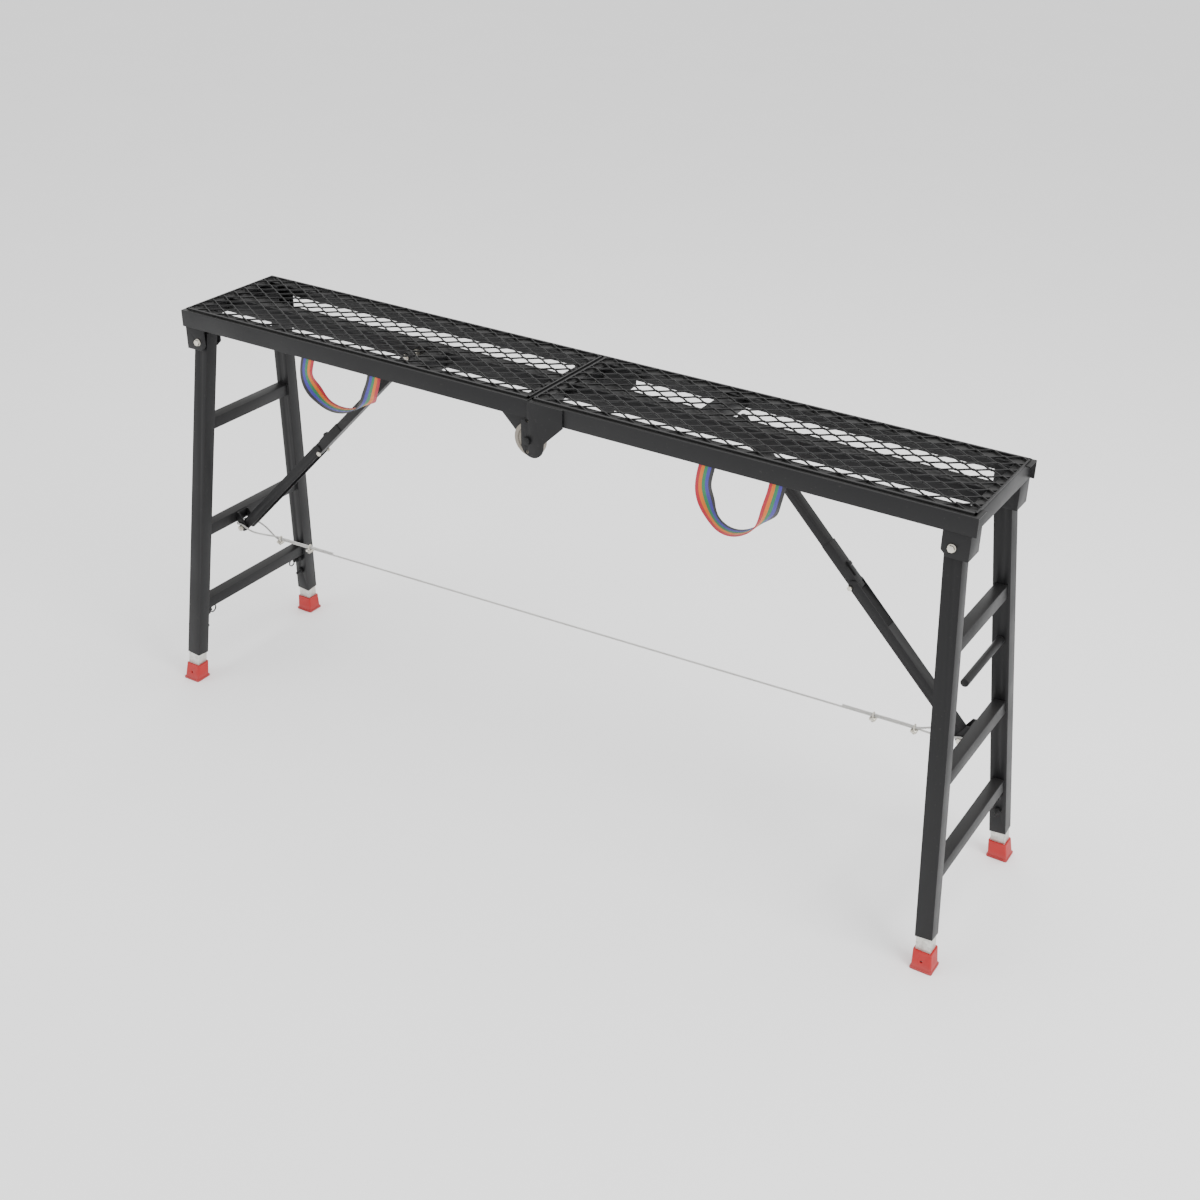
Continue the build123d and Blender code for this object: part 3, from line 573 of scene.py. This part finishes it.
# ------------------------------------------------------------------ geometry nodes
class Repeater:
    """A geometry-node group that sets copies of one shape on a grid or a row."""

    def __init__(self, name: str) -> None:
        """Build the group once.

        Args:
            name: group name.
        """
        self.tree = bpy.data.node_groups.new(name, "GeometryNodeTree")
        face = self.tree.interface
        face.new_socket("Geometry", in_out="OUTPUT", socket_type="NodeSocketGeometry")
        for label, kind in (("Shape", "NodeSocketObject"), ("Columns", "NodeSocketInt"),
                            ("Rows", "NodeSocketInt"), ("Column Step", "NodeSocketVector"),
                            ("Row Step", "NodeSocketVector"),
                            ("First", "NodeSocketVector"), ("Turn", "NodeSocketRotation"),
                            ("Size Change", "NodeSocketFloat"), ("Seed", "NodeSocketInt"),
                            ("Finish", "NodeSocketMaterial")):
            face.new_socket(label, in_out="INPUT", socket_type=kind)
        add, link = self.tree.nodes.new, self.tree.links.new
        given = add("NodeGroupInput").outputs
        column = add("GeometryNodeMeshLine")
        link(given["Columns"], column.inputs["Count"])
        link(given["First"], column.inputs["Start Location"])
        link(given["Column Step"], column.inputs["Offset"])
        row = add("GeometryNodeMeshLine")
        link(given["Rows"], row.inputs["Count"])
        link(given["Row Step"], row.inputs["Offset"])
        lines = add("GeometryNodeInstanceOnPoints")
        link(row.outputs[0], lines.inputs["Points"])
        link(column.outputs[0], lines.inputs["Instance"])
        points = add("GeometryNodeRealizeInstances")
        link(lines.outputs[0], points.inputs[0])
        shape = add("GeometryNodeObjectInfo")
        link(given["Shape"], shape.inputs[0])
        size = add("FunctionNodeRandomValue")
        size.data_type = "FLOAT"
        low, high = add("ShaderNodeMath"), add("ShaderNodeMath")
        low.operation, high.operation = "SUBTRACT", "ADD"
        for node in (low, high):
            node.inputs[0].default_value = 1.0
            link(given["Size Change"], node.inputs[1])
        floats = [s for s in size.inputs if s.type == "VALUE" and s.enabled]
        link(low.outputs[0], floats[0])
        link(high.outputs[0], floats[1])
        link(given["Seed"], size.inputs["Seed"])
        copies = add("GeometryNodeInstanceOnPoints")
        link(points.outputs[0], copies.inputs["Points"])
        link(shape.outputs["Geometry"], copies.inputs["Instance"])
        link(given["Turn"], copies.inputs["Rotation"])
        link([s for s in size.outputs if s.enabled][0], copies.inputs["Scale"])
        solid, paint = add("GeometryNodeRealizeInstances"), add("GeometryNodeSetMaterial")
        link(copies.outputs[0], solid.inputs[0])
        link(solid.outputs[0], paint.inputs[0])
        link(given["Finish"], paint.inputs["Material"])
        link(paint.outputs[0], add("NodeGroupOutput").inputs[0])

    def lay(self, name: str, shape: bpy.types.Object, finish: Finish, first: Vector, step: Vector, count: int,
            row_step: Vector = Vector((0, 0, 0)), rows: int = 1, turn: Matrix | None = None,
            change: float = 0.0, seed: int = 7) -> bpy.types.Object:
        """Lay copies of a shape and return them as one plain mesh.

        Args:
            name: object name.
            shape: the shape to copy.
            finish: the copies' finish.
            first: place of the first copy.
            step: from one copy to the next.
            count: copies in a row.
            row_step: from one row to the next.
            rows: number of rows.
            turn: rotation of every copy.
            change: share by which sizes vary.
            seed: fixed seed of that change.

        Returns:
            The plain mesh object.
        """
        obj = bpy.data.objects.new(name, bpy.data.meshes.new(name))
        bpy.context.scene.collection.objects.link(obj)
        live = obj.modifiers.new("repeat", "NODES")
        live.node_group = self.tree
        values = {"Shape": shape, "Columns": count, "Rows": rows, "Column Step": step, "Row Step": row_step,
                  "First": first, "Turn": (turn or Matrix.Identity(3)).to_euler(), "Size Change": change,
                  "Seed": seed, "Finish": finish.material}
        for item in self.tree.interface.items_tree:
            if item.in_out == "INPUT":
                live[item.identifier] = values[item.name]
        return plain(obj)


def join(name: str, objs: Sequence[bpy.types.Object]) -> bpy.types.Object:
    """Join plain meshes of one finish into the first of them.

    Args:
        name: the joined object's name.
        objs: the meshes; all but the first are removed.

    Returns:
        The first object, holding every mesh.
    """
    work = bmesh.new()
    for obj in objs:
        work.from_mesh(obj.data)
    target = objs[0]
    work.to_mesh(target.data)
    work.free()
    for obj in objs[1:]:
        bpy.data.objects.remove(obj)
    target.name = name
    return target


def drop(obj: bpy.types.Object) -> None:
    """Remove a shape that was only copied from."""
    bpy.data.objects.remove(obj)


def bead(finish: Finish, size: Colour) -> bpy.types.Object:
    """A small flattened drop, used for weld ripples, foot ribs and rivets.

    Args:
        finish: its finish.
        size: half its size along each axis in metres.

    Returns:
        The drop, at the origin.
    """
    mesh = bpy.data.meshes.new("bead")
    work = bmesh.new()
    bmesh.ops.create_icosphere(work, subdivisions=2, radius=1.0, matrix=Matrix.Diagonal((*size, 1)))
    work.to_mesh(mesh)
    work.free()
    mesh.polygons.foreach_set("use_smooth", [True] * len(mesh.polygons))
    mesh.materials.append(finish.material)
    obj = bpy.data.objects.new("bead", mesh)
    bpy.context.scene.collection.objects.link(obj)
    return obj


# ------------------------------------------------------------------ sub-assemblies
@dataclass
class DeckHalf:
    """One half of the deck: rails, cross members, stringer, brackets and the expanded mesh."""

    side: Side
    repeat: Repeater
    pitch: float = 0.0594
    row: float = 0.018
    strand: float = 0.0032
    pieces: list[bpy.types.Object] = field(default_factory=list)

    @property
    def body(self) -> str:
        """The CAD body this half rides on."""
        return f"deck_{self.side.label}"

    def build(self) -> list[bpy.types.Object]:
        """Build every piece of this half."""
        s = self.side.label
        for node in (f"front_rail_{s}", f"rear_rail_{s}", f"cross_members_{s}", f"centre_stringer_{s}",
                     f"leg_brackets_{s}", f"hinge_plates_{s}"):
            self.pieces.append(dress(node, PAINT))
        self.pieces.append(dress(f"pivot_bolts_{s}", ZINC, BOLT_EDGE))
        self.pieces.append(self.mesh_deck())
        self.pieces.append(self.welds())
        return self.pieces

    def strand_pair(self) -> bpy.types.Object:
        """One raised, twisted V of two strands, knot to knot."""
        verts: list[Vector] = []
        steps, half, high = 8, self.strand / 2, 0.0019
        for i in range(2 * steps + 1):
            t = i / steps - 1
            x, y = t * self.pitch / 2, (1 - abs(t)) * self.row
            lift = 0.0009 * math.cos(math.pi * t)
            tilt = 0.35 * (1 if t < 0 else -1) * math.sin(math.pi * abs(t))
            for a, b in ((-half, -high), (half, -high), (half, high), (-half, high)):
                dy = a * math.cos(tilt) - b * math.sin(tilt)
                dz = a * math.sin(tilt) + b * math.cos(tilt)
                verts.append(Vector((x, y + dy, dz + lift)))
        faces = [(4 * i + k, 4 * i + (k + 1) % 4, 4 * i + 4 + (k + 1) % 4, 4 * i + 4 + k)
                 for i in range(2 * steps) for k in range(4)]
        faces += [(0, 1, 2, 3), tuple(range(len(verts) - 4, len(verts)))]
        obj = add_mesh("strand_pair", verts, faces, PAINT)
        ease = obj.modifiers.new("ease", "BEVEL")
        ease.width, ease.segments, ease.limit_method, ease.angle_limit = 0.0006, 1, "ANGLE", 0.9
        return plain(obj)

    def mesh_deck(self) -> bpy.types.Object:
        """The expanded mesh between its border strips."""
        low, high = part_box(f"deck_mesh_{self.side.label}")
        count = int((high.x - low.x) // self.pitch)
        rows = int(round((high.y - low.y - 0.008) / self.row / 2))
        start = (low.x + high.x - (count - 1) * self.pitch) / 2
        mid, shape = (low.z + high.z) / 2, self.strand_pair()
        y0 = (low.y + high.y) / 2 - rows * self.row
        step, two = Vector((self.pitch, 0, 0)), Vector((0, 2 * self.row, 0))
        even = Vector((start - self.pitch, y0, mid))
        odd = Vector((start - 1.5 * self.pitch, y0 + self.row, mid))
        parts = [
            self.repeat.lay("even", shape, PAINT, even, step, count + 2, two, rows),
            self.repeat.lay("odd", shape, PAINT, odd, step, count + 3, two, rows),
        ]
        self.trim(parts, low.x + 0.002, high.x - 0.002)
        drop(shape)
        inner_y = rows * self.row
        for a, b in (((low.x, low.y), (low.x + 0.004, high.y)), ((high.x - 0.004, low.y), (high.x, high.y)),
                     ((low.x, low.y), (high.x, -inner_y + 0.0015)),
                     ((low.x, inner_y - 0.0015), (high.x, high.y))):
            parts.append(box_piece("strip", (*a, mid - 0.002), (*b, mid + 0.0015), PAINT))
        deck = join(f"expanded_mesh_{self.side.label}", parts)
        return settle(deck, self.body, PAINT, f"deck_mesh_{self.side.label}")

    def trim(self, parts: Sequence[bpy.types.Object], low: float, high: float) -> None:
        """Cut strands off square at both ends.

        Args:
            parts: strand meshes.
            low: where they start along X.
            high: where they stop along X.
        """
        for part in parts:
            work = bmesh.new()
            work.from_mesh(part.data)
            for place, way in ((low, -1), (high, 1)):
                geometry = [*work.verts, *work.edges, *work.faces]
                cut = bmesh.ops.bisect_plane(work, geom=geometry, plane_co=(place, 0, 0),
                                             plane_no=(way, 0, 0), clear_outer=True)
                rim = [e for e in cut["geom_cut"] if isinstance(e, bmesh.types.BMEdge)]
                bmesh.ops.holes_fill(work, edges=rim)
            work.to_mesh(part.data)
            work.free()

    def welds(self) -> bpy.types.Object:
        """Weld ripples where the stringer and the rails meet the end channel."""
        f, shape = self.side.value, bead(PAINT, WELD_PAINT_SMALL)
        rows = []
        for y in (-0.0203, 0.0203, -0.1540, 0.1540):
            rows.append(self.repeat.lay("weld", shape, PAINT, Vector((f * 0.9876, y, 0.968)),
                                        Vector((0, 0, 0.0036)), 9, change=0.12, seed=3))
        drop(shape)
        return settle(join(f"deck_welds_{self.side.label}", rows), self.body, PAINT)


def box_piece(name: str, low: Sequence[float], high: Sequence[float], finish: Finish) -> bpy.types.Object:
    """A plain box between two corners.

    Args:
        name: object name.
        low: the low corner in metres.
        high: the high corner in metres.
        finish: its finish.

    Returns:
        The box.
    """
    verts = [(x, y, z) for x in (low[0], high[0]) for y in (low[1], high[1]) for z in (low[2], high[2])]
    faces = [(0, 1, 3, 2), (4, 6, 7, 5), (0, 4, 5, 1), (2, 3, 7, 6), (0, 2, 6, 4), (1, 5, 7, 3)]
    return add_mesh(name, verts, faces, finish)


@dataclass
class LegFrame:
    """One folding leg frame with its extending feet."""

    side: Side
    repeat: Repeater
    lean: float = math.radians(5.08)
    pieces: list[bpy.types.Object] = field(default_factory=list)

    def build(self) -> list[bpy.types.Object]:
        """Build every piece of this frame."""
        s = self.side.label
        for end in End:
            self.pieces += [dress(f"{end.label}_stile_{s}", PAINT),
                            dress(f"{end.label}_inner_leg_{s}", GALVANISED),
                            dress(f"{end.label}_lock_pin_{s}", PAINT, PIN_EDGE),
                            dress(f"{end.label}_foot_{s}", RED, FOOT_EDGE), self.grip(end)]
        self.pieces += [dress(f"rungs_{s}", PAINT), dress(f"brace_bracket_{s}", PAINT),
                        dress(f"rope_bolt_{s}", ZINC, BOLT_EDGE),
                        dress(f"lock_screws_{s}", PAINT, BOLT_EDGE), self.welds()]
        if self.side is Side.RIGHT:
            self.pieces.append(dress("storage_peg_right", PAINT))
        return self.pieces

    def grip(self, end: End) -> bpy.types.Object:
        """Raised ribs low on the two long faces of a foot."""
        low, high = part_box(f"{end.label}_foot_{self.side.label}")
        shape = bead(RED, FOOT_RIB)
        rows = []
        middle = (low.x + high.x) / 2
        for y in (low.y + 0.0002, high.y - 0.0002):
            rows.append(self.repeat.lay("rib", shape, RED, Vector((middle - 0.020, y, 0.0026)),
                                        Vector((0.005, 0, 0)), 9))
        drop(shape)
        name = f"foot_ribs_{end.label}_{self.side.label}"
        return settle(join(name, rows), f"foot_{end.label}_{self.side.label}", RED)

    def welds(self) -> bpy.types.Object:
        """Weld ripples down both upright edges of every rung end."""
        f, rows = self.side.value, []
        shape = bead(PAINT, WELD_PAINT_LARGE)
        down = Vector((f * math.sin(self.lean), 0, -math.cos(self.lean)))
        inward = Vector((-f * math.cos(self.lean), 0, -math.sin(self.lean)))
        for drop_down in (0.219, 0.509, 0.722):
            for end in End:
                for face in (-1, 1):
                    spread = Vector((0, end.value * (0.1128 + 0.0992 * (drop_down - 0.013)), 0))
                    first = (Vector((f * PIVOT.x, 0, PIVOT.z)) + (drop_down - 0.013) * down
                             + face * 0.0141 * inward + spread)
                    step = 0.0037 * down + Vector((0, end.value * 0.0037 * 0.0992, 0))
                    rows.append(self.repeat.lay("weld", shape, PAINT, first, step, 8, change=0.14, seed=5))
        drop(shape)
        return settle(join(f"rung_welds_{self.side.label}", rows), f"leg_frame_{self.side.label}", PAINT)


@dataclass
class Brace:
    """One two-link folding brace with its sleeve, latch and knee bolt."""

    side: Side

    def build(self) -> list[bpy.types.Object]:
        """Build the links."""
        s = self.side.label
        made = [dress(f"{node}_{s}", PAINT) for node in ("upper_link", "knee_sleeve", "latch", "lower_link")]
        return made + [dress(f"knee_bolt_{s}", ZINC, BOLT_EDGE)]


@dataclass
class DeckHinge:
    """The deck's hinge bolts and the two plain rollers on them."""

    def build(self) -> list[bpy.types.Object]:
        """Build bolts and turned rollers."""
        return [dress("hinge_bolts", PAINT, BOLT_EDGE), *(self.roller(end) for end in End)]

    def roller(self, end: End) -> bpy.types.Object:
        """A moulded roller with a crowned tread and a recessed web.

        Args:
            end: which of the two rollers.

        Returns:
            The roller, turned about the hinge line.
        """
        low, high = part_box(f"wheel_{end.label}")
        mid, half, radius = (low + high) / 2, (high.y - low.y) / 2, (high.z - low.z) / 2
        bore = 0.0051
        one = [(bore, half), (0.012, half), (0.0135, half - 0.003), (0.027, half - 0.003),
               (0.029, half - 0.0006), (radius - 0.003, half - 0.0004),
               (radius - 0.0008, half - 0.002), (radius, half - 0.005)]
        profile = one + [(r, -y) for r, y in reversed(one)]
        sides, verts = 72, []
        for k in range(sides):
            a = math.tau * k / sides
            verts += [mid + Vector((r * math.cos(a), y, r * math.sin(a))) for r, y in profile]
        n = len(profile)
        faces = [(k * n + i, k * n + (i + 1) % n, (k + 1) % sides * n + (i + 1) % n, (k + 1) % sides * n + i)
                 for k in range(sides) for i in range(n)]
        obj = add_mesh(f"roller_{end.label}", verts, faces, ROLLER, True)
        obj.data.set_sharp_from_angle(angle=math.radians(35))
        return settle(obj, f"wheel_{end.label}", ROLLER, f"wheel_{end.label}")


@dataclass
class CarryStrap:
    """A webbing strap hung in a loop from the front rail."""

    side: Side
    ends: tuple[float, float]
    low: tuple[float, float]
    stripes: tuple[Colour, ...]
    repeat: Repeater
    width: float = 0.036
    thick: float = 0.0016

    def build(self) -> list[bpy.types.Object]:
        """Build the band and its rivets.

        Returns:
            The band and the rivets.
        """
        finish = Webbing(f"striped_webbing_{self.side.label}", (0.3, 0.1, 0.1), 0.85, self.stripes)
        y = -0.1525
        a, b = self.ends
        depth = RAIL_UNDERSIDE - (RAIL_UNDERSIDE - self.low[1]) / 0.75
        span = (8 * self.low[0] - a - b) / 3
        out = a - 0.30 * abs(b - a)
        hull = [Vector((a, y, RAIL_UNDERSIDE)), Vector((out, y, depth)), Vector((span - out, y, depth)),
                Vector((b, y, RAIL_UNDERSIDE))]
        loop = [(1 - t) ** 3 * hull[0] + 3 * t * (1 - t) ** 2 * hull[1] + 3 * t * t * (1 - t) * hull[2]
                + t**3 * hull[3] for t in (k / 80 for k in range(81))]
        line = [Vector((a, y, 0.996)), Vector((a, y, 0.985)), Vector((a, y, 0.975)), *loop,
                Vector((b, y, 0.975)), Vector((b, y, 0.985)), Vector((b, y, 0.996))]
        total = sum((q - p).length for p, q in zip(line, line[1:]))
        verts, across, along, travelled, cols = [], [], [], 0.0, 20
        for index, point in enumerate(line):
            ahead = (line[min(index + 1, len(line) - 1)] - line[max(index - 1, 0)]).normalized()
            if index:
                travelled += (point - line[index - 1]).length
            flat = min(1.0, max(0.0, (abs(travelled / total - 0.5) - 0.10) / 0.26))
            flat = flat * flat * (3 - 2 * flat)
            turn = (1 - flat) * math.pi / 2
            wide = Vector((math.cos(turn), math.sin(turn), 0)).normalized()
            wide = (wide - ahead * wide.dot(ahead)).normalized() if abs(wide.dot(ahead)) < 0.98 else wide
            normal = ahead.cross(wide).normalized()
            shift = Vector((0, 0.5 * self.width * math.sin(turn), 0))
            for layer in (-0.5, 0.5):
                for c in range(cols + 1):
                    u = c / cols
                    verts.append(point + shift + wide * (u - 0.5) * self.width + normal * layer * self.thick)
                    across.append(u)
                    along.append(travelled)
        row, faces = 2 * (cols + 1), []
        for i in range(len(line) - 1):
            for c in range(cols):
                for base in (0, cols + 1):
                    k = i * row + base + c
                    faces.append((k, k + 1, k + 1 + row, k + row))
            for c in (0, cols):
                k = i * row + c
                faces.append((k, k + cols + 1, k + cols + 1 + row, k + row))
        for i in (0, len(line) - 1):
            faces += [(i * row + c, i * row + c + 1, i * row + cols + 2 + c, i * row + cols + 1 + c)
                      for c in range(cols)]
        band = add_mesh(f"webbing_{self.side.label}", verts, faces, finish, True)
        write_values(band, across, along)
        settle(band, f"deck_{self.side.label}", finish, f"strap_{self.side.label}")
        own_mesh(band)
        return [band, self.rivets()]

    def rivets(self) -> bpy.types.Object:
        """Two rivets through each end of the strap, seen from behind the rail."""
        shape = bead(ZINC, RIVET)
        rows = [self.repeat.lay("rivet", shape, ZINC, Vector((x, -0.1512, 0.975)), Vector((0, 0, 0.014)), 2)
                for x in self.ends]
        drop(shape)
        name = f"strap_rivets_{self.side.label}"
        return settle(join(name, rows), f"deck_{self.side.label}", ZINC)


@dataclass
class TieRope:
    """The wire rope between the two leg frames, with an eye at each end and its clips."""

    radius: float = 0.0022
    level: float = 0.383
    eye: tuple[float, float] = (0.967248, 0.399902)
    split: float = 0.43
    lane: float = 0.049

    def side_points(self, f: int) -> list[Vector]:
        """Centre points of one side: live line out, round the bolt, and back to the tail.

        Args:
            f: the sign of X.

        Returns:
            The points in metres.
        """
        ex, ez = self.eye
        slope, half, over, gap = self.lane / ex, 0.0214, ez + 0.0072, 2 * self.radius + 0.0003
        z, y = self.level, self.lane
        line = [(self.split, self.split * slope, z), (0.65, 0.65 * slope, z), (0.84, 0.84 * slope, z),
                (0.872, 0.872 * slope, z), (ex - 0.04, y - half, z + 0.012), (ex, y - half, over),
                (ex + 0.014, y - half, over - 0.001), (ex + 0.024, y - half + 0.009, over - 0.003),
                (ex + 0.026, y, over - 0.0035), (ex + 0.024, y + half - 0.009, over - 0.003),
                (ex + 0.014, y + half, over - 0.001), (ex, y + half, over),
                (ex - 0.04, y + half, z + 0.014), (0.872, 0.872 * slope, z + gap),
                (0.84, 0.84 * slope, z + gap), (0.694, 0.694 * slope, z + gap)]
        return [Vector((f * x, f * y, h)) for x, y, h in line]

    def span_of(self, f: int) -> tuple[Vector, Vector]:
        """Two points on one side's rope line: where the middle length ends, and a point further out near the
        frame.

        Args:
            f: the sign of X.

        Returns:
            The two points in metres.
        """
        slope = self.lane / self.eye[0]
        return (Vector((f * self.split, f * self.split * slope, self.level)),
                Vector((f * ROPE_JOIN_END, f * ROPE_JOIN_END * slope, self.level)))

    def build(self) -> list[bpy.types.Object]:
        """Build three rope lengths and the clips.

        Returns:
            The rope lengths and the clips.
        """
        slope, made = self.lane / self.eye[0], []
        middle = [Vector((x, x * slope, self.level)) for x in (-self.split, -0.2, 0.0, 0.2, self.split)]
        centre = tube("rope_middle", smooth_path(middle, 0.01), self.radius, ROPE)
        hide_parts("tie_rope")
        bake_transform(centre)
        made.append(centre)
        for side in Side:
            f, s = side.value, side.label
            path = smooth_path(self.side_points(f), 0.003)
            rope = tube(f"rope_{s}", path, self.radius, ROPE)
            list(self.span_of(f))
            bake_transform(rope)
            length = sum((q - p).length for p, q in zip(path, path[1:]))
            tuple(path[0])
            [tuple(p) for p in path]
            made.append(rope)
        [tuple(p) for p in smooth_path(middle, 0.01)]
        made += self.clips()
        return made

    def clips(self) -> list[bpy.types.Object]:
        """The U-bolt clips, split by side."""
        source, made = frame["nodes"]["rope_clips"].data, []
        for side in Side:
            f, s = side.value, side.label
            mesh = source.copy()
            work = bmesh.new()
            work.from_mesh(mesh)
            bmesh.ops.delete(work, geom=[v for v in work.verts if v.co.x * f < 0], context="VERTS")
            bmesh.ops.remove_doubles(work, verts=work.verts, dist=1e-6)
            work.to_mesh(mesh)
            work.free()
            mesh.materials.clear()
            mesh.materials.append(ZINC.material)
            obj = bpy.data.objects.new(f"clips_{s}", mesh)
            bpy.context.scene.collection.objects.link(obj)
            obj.data.shade_smooth()
            obj.data.set_sharp_from_angle(angle=math.radians(35))
            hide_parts("rope_clips")
            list(self.span_of(f))
            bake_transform(obj)
            made.append(obj)
        return made


# ------------------------------------------------------------------ stage
@dataclass
class Studio:
    """Pale floor, soft lights and the camera."""

    spot: Vector = field(default_factory=lambda: Vector((1.8213, -2.7606, 2.3118)))
    yaw: float = 0.543
    pitch: float = 0.527
    roll: float = 0.021

    def build(self) -> None:
        """Set floor, world, lights and camera."""
        bpy.ops.mesh.primitive_plane_add(size=40)
        floor = bpy.context.object
        floor.name = "floor"
        g = Graph("floor")
        grain = g.spread(g.noise(2, g.place(), 2), 0, 1, (0.94, 0.97))
        tone = g.add("ShaderNodeCombineColor", {0: grain, 1: grain, 2: grain}).outputs[0]
        floor.data.materials.append(g.finish(tone, 0.7))
        floor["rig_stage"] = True
        world = bpy.data.worlds.new("studio")
        bpy.context.scene.world = world
        world.use_nodes = True
        world.node_tree.nodes["Background"].inputs[0].default_value = (1.0, 1.0, 1.0, 1)
        world.node_tree.nodes["Background"].inputs[1].default_value = 1.35
        for name, place, power, size in (("key", (3.4, -0.6, 3.4), 120, 2.0),
                                         ("fill", (-2.8, -3.4, 2.6), 45, 3.0),
                                         ("top", (0, 0.8, 4.2), 80, 3.6)):
            data = bpy.data.lights.new(name, "AREA")
            data.energy, data.size = power, size
            light = bpy.data.objects.new(name, data)
            light.location = place
            light.rotation_euler = (Vector((0, 0, 0.6)) - Vector(place)).to_track_quat("-Z", "Y").to_euler()
            bpy.context.scene.collection.objects.link(light)
        self.camera()

    def camera(self) -> None:
        """The camera at the reference view's angle."""
        ahead = Vector((-math.sin(self.yaw) * math.cos(self.pitch), math.cos(self.yaw) * math.cos(self.pitch),
                        -math.sin(self.pitch)))
        level = Vector((math.cos(self.yaw), math.sin(self.yaw), 0))
        over = level.cross(ahead)
        right = level * math.cos(self.roll) + over * math.sin(self.roll)
        up = over * math.cos(self.roll) - level * math.sin(self.roll)
        data = bpy.data.cameras.new("camera")
        data.lens, data.sensor_width, data.shift_x, data.shift_y = 48.537, 36.0, -0.0208, 0.0202
        data.clip_end = 60
        camera = bpy.data.objects.new("camera", data)
        turn = Matrix((right, up, -ahead)).transposed().to_4x4()
        camera.matrix_world = Matrix.Translation(self.spot) @ turn
        bpy.context.scene.collection.objects.link(camera)
        bpy.context.scene.camera = camera


def note_size(key: str, sizes: dict) -> None:
    sizes[key] = [[float(c) for c in corner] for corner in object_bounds()]


def main() -> None:
    """Build every sub-assembly and report it."""
    logging.basicConfig(level=logging.INFO)
    sizes: dict = {}
    note_size("cad", sizes)
    repeat = Repeater("repeat_shape")
    groups: dict[str, Callable[[], list[bpy.types.Object]]] = {}
    for side in Side:
        groups[f"deck {side.label}"] = DeckHalf(side, repeat).build
        groups[f"leg frame {side.label}"] = LegFrame(side, repeat).build
        groups[f"brace {side.label}"] = Brace(side).build
    groups["deck hinge"] = DeckHinge().build
    groups["strap left"] = CarryStrap(Side.LEFT, (-0.613, -0.420), (-0.550, 0.848), (
        BLACK_BAND, VIOLET_BAND, GREEN_BAND, ORANGE_BAND, RED_BAND), repeat).build
    groups["strap right"] = CarryStrap(Side.RIGHT, (0.431, 0.589), (0.483, 0.823), (
        RED_BAND, ORANGE_BAND, GREEN_BAND, VIOLET_BAND, BLACK_BAND), repeat).build
    groups["tie rope"] = TieRope().build
    for name, build in groups.items():
        LOG.info("%s: %s", name, ", ".join(obj.name for obj in build()))
    for node in frame["record"]["subparts"]:
        mesh = frame["nodes"][node["node"]].data
        mesh.materials.clear()
        mesh.materials.append(FINISHES.get(node["material_slot"], PAINT).material)
    Studio().build()
    note_size("visual", sizes)


if __name__ == "__main__":
    main()
